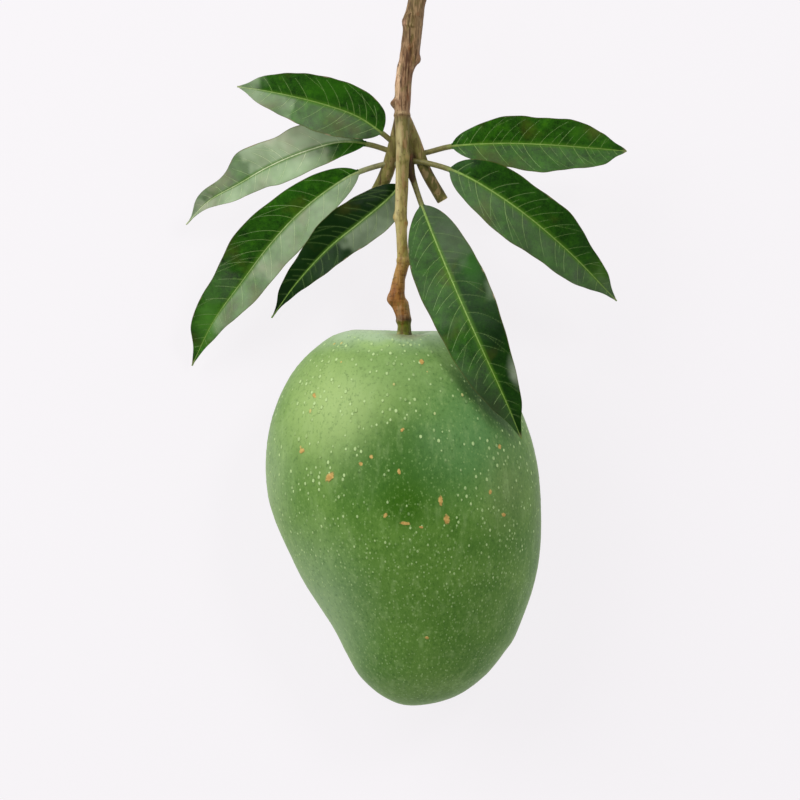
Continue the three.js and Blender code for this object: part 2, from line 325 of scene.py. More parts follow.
def evaluated_mesh(piece: bpy.types.Object) -> bpy.types.Mesh:
    """A plain mesh of a piece with its modifiers applied.

    Args:
        piece: The piece. Its own mesh stays as it is.

    Returns:
        The new mesh.
    """
    bpy.context.view_layer.update()
    graph = bpy.context.evaluated_depsgraph_get()
    return bpy.data.meshes.new_from_object(
        piece.evaluated_get(graph), preserve_all_data_layers=True, depsgraph=graph
    )


def grow(
    carrier: bpy.types.Object, tree: bpy.types.NodeTree, values: dict[str, object], name: str
) -> bpy.types.Object:
    """Runs a geometry tree on a carrier and keeps what it makes as a plain mesh.

    Args:
        carrier: The object that the tree starts from.
        tree: The geometry tree.
        values: What goes into the tree's named inputs.
        name: The new piece's name.

    Returns:
        The new piece. The carrier has no modifier left.
    """
    modifier = carrier.modifiers.new("grow", "NODES")
    modifier.node_group = tree
    for item in tree.interface.items_tree:
        if item.in_out == "INPUT" and item.name in values:
            modifier[item.identifier] = values[item.name]
    mesh = evaluated_mesh(carrier)
    carrier.modifiers.remove(modifier)
    mesh.name = name
    return mesh_object(name, mesh)


def geometry_tree(name: str, inputs: dict[str, str]) -> bpy.types.NodeTree:
    """Starts a geometry tree with a geometry input and output and the named inputs.

    Args:
        name: The tree's name.
        inputs: Each input's name and kind of socket.

    Returns:
        The tree, still without nodes.
    """
    tree = bpy.data.node_groups.new(name, "GeometryNodeTree")
    sockets = [("Geometry", "Geometry", "INPUT")]
    sockets += [(label, kind, "INPUT") for label, kind in inputs.items()]
    for label, kind, way in (*sockets, ("Geometry", "Geometry", "OUTPUT")):
        tree.interface.new_socket(label, in_out=way, socket_type=f"NodeSocket{kind}")
    return tree


def settle(piece: bpy.types.Object, node: str | None = None) -> None:
    """Ties a finished piece to the body and the node it stands for.

    Args:
        piece: The finished piece.
        node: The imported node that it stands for, or none for a piece that adds to one.
    """
    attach(piece, BODY)
    if node is not None:
        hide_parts(node)
    log.info("%s: %d vertices", piece.name, len(piece.data.vertices))


@dataclass(frozen=True)
class Patch:
    """A soft-edged area with a colour of its own. Sizes in millimetres, the turn in degrees."""

    centre: Point
    radii: Point
    colour: str
    strength: float
    edge: float = 1.0
    turn: float = 0.0


@dataclass(frozen=True)
class Tint:
    """A colour that comes in as a value goes from start to end."""

    value: Socket
    start: float
    end: float
    strength: float
    colour: str


def lay_tints(add: Callable, base: Socket, *rows: tuple) -> Socket:
    """Lays tints over a base colour, one after another.

    Args:
        add: The call that adds a node to the material.
        base: The colour below the tints.
        *rows: The values of each tint, the lowest first.

    Returns:
        The colour with all tints on it.
    """
    colour = base
    for tint in table(Tint, *rows):
        span = {"From Min": tint.start, "From Max": tint.end, "To Max": tint.strength}
        share = add("ShaderNodeMapRange", {"Value": tint.value, **span},
                    interpolation_type="SMOOTHSTEP")
        colour = add("ShaderNodeMix", {0: share, 6: colour, 7: linear_colour(tint.colour)}, 2,
                     data_type="RGBA")
    return colour


def lay_patches(
    add: Callable, base: Socket, patches: Sequence[Patch], places: Socket, lump: float, push: float
) -> Socket:
    """Lays soft patches of colour over a base colour, one after another.

    Args:
        add: The call that adds a node to the material.
        base: The colour below the patches.
        patches: The patches, the lowest first.
        places: Object coordinates.
        lump: The size of the noise that warps the patches, so that none is a plain oval.
        push: How far that noise moves their edges, in millimetres.

    Returns:
        The colour with all patches on it.
    """
    lumps = add("ShaderNodeTexNoise", {"Vector": places, "Scale": per_metre(lump)}, "Color")
    centred = add("ShaderNodeVectorMath", {0: lumps, 1: (0.5, 0.5, 0.5)}, operation="SUBTRACT")
    pushed = add("ShaderNodeVectorMath", {0: centred, "Scale": 2 * push * MM}, operation="SCALE")
    warped = add("ShaderNodeVectorMath", {0: places, 1: pushed}, operation="ADD")
    tints = []
    for patch in patches:
        within = add("ShaderNodeMapping", {
            "Vector": warped,
            "Location": [c * MM for c in patch.centre],
            "Rotation": (0.0, 0.0, math.radians(patch.turn)),
            "Scale": [r * MM for r in patch.radii],
        }, vector_type="TEXTURE")
        ball = add("ShaderNodeTexGradient", {"Vector": within}, "Fac", gradient_type="SPHERICAL")
        tints.append((ball, 0.0, patch.edge, patch.strength, patch.colour))
    return lay_tints(add, base, *tints)


@dataclass(frozen=True)
class Finish:
    """A real material. Each kind says how its surface is painted."""

    name: str

    def paint(self, add: Callable, places: Socket) -> dict[str, object]:
        """Adds the material's nodes.

        Args:
            add: The call that adds a node to the material.
            places: Object coordinates.

        Returns:
            What goes into the surface shader's inputs.
        """
        raise NotImplementedError

    def build(self) -> bpy.types.Material:
        """Makes the material.

        Returns:
            The material, with its nodes.
        """
        material = bpy.data.materials.new(self.name)
        material.use_nodes = True
        material.node_tree.nodes.clear()
        add = partial(add_node, material.node_tree)
        places = add("ShaderNodeTexCoord", out="Object")
        surface = add("ShaderNodeBsdfPrincipled", self.paint(add, places))
        add("ShaderNodeOutputMaterial", {"Surface": surface})
        return material


@dataclass(frozen=True)
class MangoRind(Finish):
    """Unripe mango rind: living skin with a coat of natural wax."""

    name: str = "unripe mango rind, waxed by nature"
    deep: str = "46721f"
    pale: str = "648a38"
    mottle_dark: str = "244f0c"
    mottle_pale: str = "8fae62"
    streak: str = "9db878"
    pinprick: str = "8fb069"
    sheen: str = "cce4a8"
    patches: tuple[Patch, ...] = table(
        Patch,
        # Painted highlight: a pale patch on the upper left shoulder, where the soft light falls.
        ((-26, 36, 72), (40, 40, 44), "a0ba70", 0.85),
        ((4, 46, 68), (34, 18, 30), "7f9f5c", 0.7),
        # Painted reflection: a pale band down the left rim, where the bright room is mirrored.
        ((-44, 8, 45), (13, 27, 34), "9db67e", 0.6),
        ((1, 13, 80), (33, 24, 33), "30600c", 0.84, 0.85),
        ((-0.5, -0.5, 80), (11.5, 10, 20), "336100", 0.95, 0.7),
        ((24, 24, 70), (30, 34, 36), "5d8c50", 0.75),
        ((33, 5, 62), (13, 24, 26), "738a4c", 0.55),
        ((6, -36, 62), (46, 44, 50), "507828", 0.78),
        ((-27, -34, 53), (26, 46, 36), "83a070", 0.75),
        ((-6.5, 59, 52), (44, 11, 34), "a9bf9a", 0.85, 0.8),
        ((-9, 53, 58), (10, 3, 14), "8fb24c", 0.6),
        ((0.8, 57, 54), (9, 3, 14), "70704a", 0.85, 0.8),
        ((0.6, 57.6, 51), (5.6, 2.2, 9), "4c3c22", 0.9, 0.7),
        # Painted shade: darker green on the left and right rims, toning down their sheen.
        ((-43, 34, 48), (7, 13, 30), "5e8430", 0.55),
        ((46, 0, 45), (7, 26, 30), "46682a", 0.6),
        # Painted shadow: a dark band cast by the centre-right leaf, along its left edge.
        ((26.4, 33.6, 70), (25, 5.4, 40), "294c0e", 0.75, 0.75, -48.6),
    )

    def ground(self, add: Callable, places: Socket) -> Socket:
        """The rind's colour before its streaks, grain and pores, which cork fades out into; its
        patches include painted highlight, reflection, shade and shadow.

        Args:
            add: The call that adds a node to the material.
            places: Object coordinates.

        Returns:
            The colour.
        """
        blotches = add("ShaderNodeTexNoise", {
            "Vector": places, "Scale": per_metre(20), "Detail": 4.0})
        ground = add("ShaderNodeValToRGB", {"Fac": blotches},
                     ramp=((0.34, self.deep), (0.66, self.pale)))
        return lay_patches(add, ground, self.patches, places, 9, 3)

    def paint(self, add: Callable, places: Socket) -> dict[str, object]:
        """Paints it: to the eye, a satin green with soft blotches, streaks and fine pale dots; some
        blotches are painted highlight, reflection, shade and shadow.

        Args:
            add: The call that adds a node to the material.
            places: Object coordinates.

        Returns:
            What goes into the surface shader's inputs.
        """
        drawn, far_drawn = (
            add("ShaderNodeMapping", {"Vector": places, "Scale": (1.0, share, 1.0)})
            for share in (0.65, 0.3)
        )
        # Wax lies in clouds, streaks run along the fruit, and the cells make a fine grain.
        clouds, streaks, grain = (
            add("ShaderNodeTexNoise", {
                "Vector": vector, "Scale": per_metre(size), "Detail": 4.0, "Roughness": harshness})
            for vector, size, harshness in (
                (places, 20, 0.5), (far_drawn, 3.4, 0.55), (drawn, 1, 0.7))
        )
        # Pinprick pores between the raised lenticels, 0.4 mm wide, and dashes of pores at the tip.
        pores, dashes = (
            add("ShaderNodeTexVoronoi", {"Vector": vector, "Scale": per_metre(size)})
            for vector, size in ((places, 2.1), (drawn, 1.7))
        )
        height = add("ShaderNodeSeparateXYZ", {"Vector": places}, "Y")
        off_tip = add("ShaderNodeMapRange", {
            "Value": height, "From Min": -20 * MM, "From Max": 30 * MM, "To Max": 0.2})
        dashes = add("ShaderNodeMath", {0: dashes, 1: off_tip}, operation="ADD")
        colour = lay_tints(
            add,
            self.ground(add, places),
            (streaks, 0.5, 0.75, 0.24, self.streak),
            (streaks, 0.47, 0.25, 0.16, self.mottle_dark),
            (grain, 0.48, 0.3, 0.45, self.mottle_dark),
            (grain, 0.52, 0.72, 0.35, self.mottle_pale),
            (pores, 0.22, 0.1, 0.35, self.pinprick),
            (dashes, 0.24, 0.12, 0.4, self.streak),
        )
        return {
            "Base Color": colour,
            "Roughness": add("ShaderNodeMapRange", {
                "Value": clouds, "To Min": 0.4, "To Max": 0.56}),
            "Normal": add("ShaderNodeBump", {
                "Strength": 0.25, "Distance": 0.12 * MM, "Height": grain}),
            "IOR": 1.4,
            "Specular IOR Level": 0.34,
            "Sheen Weight": 0.2,
            "Sheen Roughness": 0.3,
            "Sheen Tint": linear_colour(self.sheen),
        }


@dataclass(frozen=True)
class LenticelCork(Finish):
    """Cork that closes the pores of the rind."""

    name: str = "cork in the pores of the rind"
    pale: str = "b0cb88"
    tan: str = "c0a654"

    def paint(self, add: Callable, places: Socket) -> dict[str, object]:
        """Paints it: to the eye, dry pale dots that fade out at the rim, a few of them tan.

        Args:
            add: The call that adds a node to the material.
            places: Object coordinates.

        Returns:
            What goes into the surface shader's inputs.
        """
        crown, tone = (
            add("ShaderNodeAttribute", out="Fac", attribute_name=name) for name in ("crown", "tone")
        )
        # Towards the tip the dots are fainter, and none is tan.
        height = add("ShaderNodeSeparateXYZ", {"Vector": places}, "Y")
        brightest = add("ShaderNodeMapRange", {
            "Value": height, "From Min": -40 * MM, "From Max": 20 * MM, "To Min": 0.1})
        tone = add("ShaderNodeMapRange", {"Value": tone, "To Min": -0.25, "To Max": brightest})
        rind = MangoRind().ground(add, places)
        cork = lay_tints(
            add, rind, (tone, -0.55, 0.75, 1.0, self.pale), (tone, 0.93, 0.98, 0.9, self.tan)
        )
        share = add("ShaderNodeMapRange", {"Value": crown, "From Min": 0.15, "From Max": 0.85})
        colour = add("ShaderNodeMix", {0: share, 6: rind, 7: cork}, 2, data_type="RGBA")
        return {"Base Color": colour, "Roughness": 0.6, "IOR": 1.4}


@dataclass(frozen=True)
class ScarCork(Finish):
    """Cork grown over old scratches."""

    name: str = "cork over old scratches"
    pale: str = "d4bc6c"
    tan: str = "b48c46"
    rim: str = "66601f"

    def paint(self, add: Callable, places: Socket) -> dict[str, object]:
        """Paints it: to the eye, crumbly and tan, with a darker edge that fades into the rind.

        Args:
            add: The call that adds a node to the material.
            places: Object coordinates.

        Returns:
            What goes into the surface shader's inputs.
        """
        crumbs = add("ShaderNodeTexNoise", {
            "Vector": places, "Scale": per_metre(0.9), "Detail": 4.0})
        crown = add("ShaderNodeAttribute", out="Fac", attribute_name="crown")
        ragged = add("ShaderNodeMath", {0: crumbs, 1: 0.5, 2: crown}, operation="MULTIPLY_ADD")
        colour = lay_tints(
            add,
            MangoRind().ground(add, places),
            (ragged, 0.26, 0.46, 0.6, self.rim),
            (ragged, 0.42, 0.66, 1.0, self.tan),
            (crumbs, 0.42, 0.68, 0.55, self.pale),
        )
        relief = add("ShaderNodeBump", {"Strength": 0.5, "Distance": 0.1 * MM, "Height": crumbs})
        return {"Base Color": colour, "Roughness": 0.62, "Normal": relief, "IOR": 1.4}


@dataclass(frozen=True)
class TwigBark(Finish):
    """Mango bark: furrowed brown wood at the top, green and khaki stalk below it."""

    name: str = "mango twig bark"
    bands: tuple[tuple[float, str], ...] = (
        (54, "4f5c10"), (61, "656c1c"), (62.4, "46301a"), (64, "92622c"), (71, "9c6a30"),
        (80, "a37c3e"), (84.5, "a1924e"), (100, "998d50"), (118, "777038"), (131, "6c6634"),
        (133.5, "86694a"), (150, "806042"), (176, "6a5734"),
    )
    patches: tuple[Patch, ...] = table(
        Patch,
        ((2.5, 114.6, 45.6), (2.6, 8, 3.4), "3e2a1a", 0.95, 0.5),
        # Painted highlight: a lighter stripe down one side of the knuckle.
        ((0, 72.5, 50), (0.9, 7, 3), "c29a60", 0.6),
        ((-4.6, 70.2, 49), (1.7, 4.6, 3), "5e2c14", 0.85),
        ((-1.7, 71, 50.4), (0.5, 4.6, 2.4), "6a381a", 0.8),
        ((-1.4, 63.4, 50.4), (3, 1, 2.4), "4e2c12", 0.85),
        ((1, 66.6, 49.6), (1.7, 5, 3), "b8925c", 0.75),
        ((-3.6, 73, 49.8), (0.8, 4, 2.4), "7a4420", 0.7),
        ((1.8, 57.6, 50), (1.6, 1.3, 3), "3a3416", 0.9),
        ((-2.4, 57.6, 49.4), (1.1, 1.2, 3), "a5a06a", 0.8),
        ((1.4, 82.2, 49.6), (1.8, 1.2, 2.6), "5f3a1c", 0.8),
        ((-1.4, 83.4, 50.2), (2.2, 0.8, 2.6), "b99c66", 0.8),
        ((-3, 98.9, 49.9), (1.3, 0.6, 2), "5c4420", 0.8),
        ((-3.4, 97.4, 49.8), (1.4, 1.4, 2), "b98c52", 0.9),
        ((0.4, 95.2, 50.4), (1, 1.1, 2), "986c38", 0.8),
        ((0.7, 118, 50.2), (1.3, 1.5, 2), "a08a52", 0.9),
        # Painted highlights: lighter stripes along the left edge of the stalk.
        ((-3, 106, 50), (1.7, 26, 3.4), "bfb27c", 0.85, 0.8),
        ((-2, 124, 49.6), (1.7, 9, 3.6), "b9ab78", 0.85, 0.7),
        ((-8, 110, 39.5), (4.6, 14, 5), "55581e", 0.8, 0.6),
        ((9.5, 110, 43.5), (6, 16, 6), "47461a", 0.9, 0.4),
        # Painted highlight: a lighter stripe along the left edge of the woody twig.
        ((-2.6, 146, 48.5), (1.9, 18, 4), "dcb892", 0.9, 0.8),
        ((0.6, 142, 50), (1.7, 8, 3.6), "7c482a", 0.55),
        ((2.6, 151, 50), (1.3, 6, 3.6), "8c5a34", 0.5),
        ((0.3, 141, 50), (0.8, 10, 3.4), "4c3016", 0.8, 0.6),
        ((0.8, 150, 50), (1, 7, 3.4), "4a2a12", 0.9, 0.6),
        ((1.9, 158, 50.2), (0.9, 6.5, 3.4), "44290f", 0.85, 0.6),
        ((2.4, 162, 49), (1.8, 14, 3.4), "58501c", 0.8),
        ((4.6, 162, 47.6), (1.4, 12, 4), "94805e", 0.7),
        ((-0.2, 165, 48.2), (1.7, 3, 2.8), "482c16", 0.8),
        ((-0.3, 164.6, 48.6), (1.2, 1.8, 2.4), "b48c70", 0.95),
        ((-1, 133.6, 50.2), (2.4, 1, 2), "a8936a", 0.85),
    )
    furrow: str = "40280f"
    ridge: str = "b0916a"
    rust: str = "7a4420"
    moss: str = "5a5c20"
    wood: str = "cbb78c"
    pith: str = "8d7a4c"

    def paint(self, add: Callable, places: Socket) -> dict[str, object]:
        """Paints it: to the eye, dull bark with furrows along, wrinkles across and tiny scars, and
        painted highlights on its left edge and knuckle.

        Args:
            add: The call that adds a node to the material.
            places: Object coordinates.

        Returns:
            What goes into the surface shader's inputs.
        """
        height = add("ShaderNodeSeparateXYZ", {"Vector": places}, "Y")
        low, high = self.bands[0][0], self.bands[-1][0]
        share = add("ShaderNodeMapRange", {
            "Value": height, "From Min": low * MM, "From Max": high * MM})
        stops = tuple(((y - low) / (high - low), colour) for y, colour in self.bands)
        ground = add("ShaderNodeValToRGB", {"Fac": share}, ramp=stops)
        # Plates of bark 1.5 mm wide, blotches 2.5 mm wide, furrows 0.6 mm apart along the twig,
        # long cracks 1.5 mm apart in the wood, and wrinkles 1 mm apart across the knuckles.
        plates, blotches, wrinkles, cracks, creases = (
            add("ShaderNodeTexNoise", {
                "Vector": add("ShaderNodeMapping", {"Vector": places, "Scale": stretch}),
                "Scale": per_metre(size),
                "Detail": 4.0,
            })
            for stretch, size in (
                ((1.0, 0.3, 1.0), 1.5),
                ((1.0, 0.5, 1.0), 2.5),
                ((1.0, 0.1, 1.0), 0.6),
                ((1.0, 0.06, 1.0), 1.5),
                ((0.3, 1.0, 0.3), 1.0),
            )
        )
        # Each pattern is stretched away from its middle where the bark is rough, so that the
        # smooth green stretch shows it faintly.
        wood_share = add("ShaderNodeMapRange", {
            "Value": height, "From Min": 129 * MM, "From Max": 136 * MM, "To Min": 0.55})
        knuckle = add("ShaderNodeAttribute", out="Fac", attribute_name="knuckle")
        wrinkles, cracks, creases = (
            add("ShaderNodeMath", {
                0: add("ShaderNodeMath", {0: value, 1: 0.5}, operation="SUBTRACT"),
                1: contrast,
                2: 0.5,
            }, operation="MULTIPLY_ADD")
            for value, contrast in (
                (wrinkles, wood_share), (cracks, wood_share), (creases, knuckle))
        )
        specks = add("ShaderNodeTexVoronoi", {"Vector": places, "Scale": per_metre(1.7)})
        cut = add("ShaderNodeAttribute", out="Fac", attribute_name="cut")
        colour = lay_tints(
            add,
            lay_patches(add, ground, self.patches, places, 1.6, 0.5),
            (blotches, 0.55, 0.68, 0.45, self.rust),
            (blotches, 0.44, 0.32, 0.45, self.moss),
            (plates, 0.53, 0.62, 0.35, self.ridge),
            (plates, 0.46, 0.36, 0.4, self.furrow),
            (wrinkles, 0.47, 0.33, 0.7, self.furrow),
            (wrinkles, 0.54, 0.68, 0.6, self.ridge),
            (cracks, 0.42, 0.36, 0.85, self.furrow),
            (creases, 0.46, 0.34, 0.5, self.furrow),
            (creases, 0.54, 0.66, 0.12, self.ridge),
            (specks, 0.2, 0.1, 0.55, self.furrow),
            (cut, 0.3, 0.5, 1.0, self.wood),
            (cut, 0.78, 0.9, 0.8, self.pith),
        )
        relief = add("ShaderNodeBump", {"Strength": 0.7, "Distance": 0.25 * MM, "Height": wrinkles})
        across = add("ShaderNodeBump", {
            "Strength": 0.4, "Distance": 0.25 * MM, "Height": creases, "Normal": relief})
        return {
            "Base Color": colour,
            "Roughness": 0.6,
            "Normal": across,
            "IOR": 1.42,
            "Specular IOR Level": 0.3,
        }


@dataclass(frozen=True)
class LeafBlade(Finish):
    """A mango leaf's blade: tough and evergreen, with a glossy cuticle above."""

    name: str = "mango leaf blade, glossy cuticle"
    deep: str = "102f03"
    green: str = "265607"
    bright: str = "3f780a"
    # Dark green of older leaf, laid on partly as painted shade.
    old: str = "072302"
    bronze: str = "4c4c14"
    # The painted sheen's colours: a pale grey-green reflection painted on parts of each half.
    painted_sheen: str = "b6c9a4"
    dusty_sheen: str = "b9b9a0"
    vein: str = "5f8034"
    fleck: str = "3a7218"
    halo: str = "5c8a24"
    margin: str = "55552a"
    dry: str = "a08b70"
    under: str = "6f8f4a"
    patches: tuple[Patch, ...] = table(
        Patch,
        ((-69.3, 62.4, 50), (8, 14, 90), "569230", 0.9),
        ((-40, 112, 50), (9, 9, 90), "1d5c06", 0.5),
        ((67.6, 78, 50), (7, 8, 90), "4a7320", 0.6),
        ((-26, 140.4, 50), (10, 7, 90), "2f6a08", 0.6),
        ((65.5, 127.6, 50), (6, 4, 90), "5c6c22", 0.6),
        ((60, 127, 50), (5, 5, 90), "3e7a12", 0.5),
        ((22.5, 79.7, 60), (6, 11, 90), "2f6816", 0.45),
        # Painted shade: near-black green on the centre-right leaf's right half.
        ((31.2, 55.5, 60), (5.5, 12, 90), "021c00", 0.85),
        # Painted highlights: two pale spots on the centre-right leaf's margin.
        ((37.4, 44, 60), (3.8, 8, 90), "a4ae96", 0.6, 1, 12),
        ((29, 72.5, 60), (3, 6, 90), "8c9c80", 0.4, 1, 12),
        # Painted shadow: a dark band along the centre-right leaf's left part, continuing its shadow.
        ((28, 35.5, 60), (16, 5.5, 90), "12290a", 0.6, 0.8, -50),
    )

    def paint(self, add: Callable, places: Socket) -> dict[str, object]:
        """Paints it: to the eye, dark and glossy, quilted between pale side veins, with painted
        sheen, highlights, shade and a shadow.

        Args:
            add: The call that adds a node to the material.
            places: Object coordinates.

        Returns:
            What goes into the surface shader's inputs.
        """
        blotches, clouds, flecks = (
            add("ShaderNodeTexNoise", {
                "Vector": places, "Scale": per_metre(size), "Detail": 6.0, "Roughness": harshness})
            for size, harshness in ((5, 0.7), (12, 0.45), (1.3, 0.6))
        )
        painted_sheen, vein, across, age, dry, under = (
            add("ShaderNodeAttribute", out="Fac", attribute_name=name)
            for name in ("painted_sheen", "vein", "across", "age", "dry", "under")
        )
        outwards = add("ShaderNodeMath", {0: across}, operation="ABSOLUTE")
        ground = add("ShaderNodeValToRGB", {"Fac": blotches},
                     ramp=((0.34, self.deep), (0.56, self.green), (0.72, self.bright)))
        # A net of veinlets, 0.9 mm from mesh to mesh.
        net = add("ShaderNodeTexVoronoi", {"Vector": places, "Scale": per_metre(0.9)},
                  feature="DISTANCE_TO_EDGE")
        body = lay_tints(
            add,
            ground,
            (flecks, 0.5, 0.68, 0.35, self.fleck),
            (flecks, 0.48, 0.3, 0.4, self.deep),
            (net, 0.1, 0.02, 0.3, self.fleck),
            # Darkening that is partly older leaf and partly painted shade.
            (age, 0.0, 1.0, 1.0, self.old),
            (clouds, 0.55, 0.7, 0.4, self.bronze),
        )
        body = lay_patches(add, body, self.patches, places, 5, 2)
        # The painted sheen, a pale reflection painted into the colour, is greyer in some places and
        # dustier in others.
        sheen_colour = add("ShaderNodeValToRGB", {"Fac": clouds},
                    ramp=((0.48, self.painted_sheen), (0.7, self.dusty_sheen)))
        colour = lay_tints(
            add,
            add("ShaderNodeMix", {0: painted_sheen, 6: body, 7: sheen_colour}, 2, data_type="RGBA"),
            (vein, 0.4, 1.0, 0.12, self.vein),
            (outwards, 0.16, 0.02, 0.4, self.halo),
            (outwards, 0.95, 1.0, 0.7, self.margin),
            (dry, 0.0, 1.0, 1.0, self.dry),
            (under, 0.0, 1.0, 1.0, self.under),
        )
        veinlets = add("ShaderNodeBump", {"Strength": 0.35, "Distance": 0.05 * MM, "Height": net})
        quilting = add("ShaderNodeBump", {
            "Strength": 0.5, "Distance": 0.3 * MM, "Height": blotches, "Normal": veinlets})
        gloss = add("ShaderNodeMapRange", {"Value": blotches, "To Min": 0.34, "To Max": 0.52})
        return {
            "Base Color": colour,
            "Roughness": add("ShaderNodeMath", {0: under, 1: 0.2, 2: gloss},
                             operation="MULTIPLY_ADD"),
            "Normal": quilting,
            "IOR": 1.42,
            "Specular IOR Level": 0.14,
        }


@dataclass(frozen=True)
class LeafRib(Finish):
    """A leaf's conducting tissue: petiole, midrib and side veins."""

    name: str = "mango leaf ribs, smooth and pale"
    petiole: str = "726d38"
    midrib: str = "7a9a40"
    side_vein: str = "97b47c"
    # Dark green of older ribs, laid on partly as painted shade.
    old: str = "2f4e18"
    painted_sheen: str = "d2d9b2"

    def paint(self, add: Callable, places: Socket) -> dict[str, object]:
        """Paints it: to the eye, smooth and pale, tan at the stalk and yellow-green along, with the
        blade's painted sheen and painted shade.

        Args:
            add: The call that adds a node to the material.
            places: Object coordinates.

        Returns:
            What goes into the surface shader's inputs.
        """
        rank, painted_sheen, age = (
            add("ShaderNodeAttribute", out="Fac", attribute_name=name)
            for name in ("rank", "painted_sheen", "age")
        )
        colours = add("ShaderNodeValToRGB", {"Fac": rank}, ramp=(
            (0.0, self.petiole), (0.35, self.midrib), (0.7, self.midrib), (1.0, self.side_vein)))
        streaks = add("ShaderNodeTexNoise", {
            "Vector": places, "Scale": per_metre(1.2), "Detail": 3.0})
        value = add("ShaderNodeMapRange", {
            "Value": streaks, "From Min": 0.3, "From Max": 0.7, "To Min": 0.7, "To Max": 1.15})
        # The ribs darken with the blade: partly older leaf, partly painted shade.
        ageing_and_shade = add("ShaderNodeMath", {0: rank, 1: age}, operation="MULTIPLY")
        misted = lay_tints(
            add, colours, (ageing_and_shade, 0.2, 0.65, 0.85, self.old), (painted_sheen, 0.0, 0.8, 1.0, self.painted_sheen)
        )
        shaded = add("ShaderNodeHueSaturation", {"Color": misted, "Value": value})
        return {"Base Color": shaded, "Roughness": 0.5, "IOR": 1.42}


@dataclass(frozen=True)
class StudioPaper(Finish):
    """Seamless background paper."""

    name: str = "seamless paper, lit from below"
    tint: str = "f8f5f8"
    shade: str = "5c5b5c"
    glow: float = 0.884

    def paint(self, add: Callable, places: Socket) -> dict[str, object]:
        """Paints it: to the eye, an even pale ground, lit a little from below.

        Args:
            add: The call that adds a node to the material.
            places: Object coordinates.

        Returns:
            What goes into the surface shader's inputs.
        """
        fibres = add("ShaderNodeTexNoise", {"Vector": places, "Scale": per_metre(4)})
        relief = add("ShaderNodeBump", {"Strength": 0.05, "Distance": 0.05 * MM, "Height": fibres})
        return {
            "Base Color": linear_colour(self.shade),
            "Roughness": 0.9,
            "Normal": relief,
            "Specular IOR Level": 0.0,
            "Emission Color": linear_colour(self.tint),
            "Emission Strength": self.glow,
        }


@dataclass(frozen=True)
class OutlineLevel:
    """How far the flesh reaches to both sides at one height of the broad face."""

    height: float
    left: float
    right: float


@dataclass(frozen=True)
class Scar:
    """A corky scar on the skin, seen from above the fruit or from below it."""

    x: float
    y: float
    length: float
    width: float
    turn: float
    above: bool = True


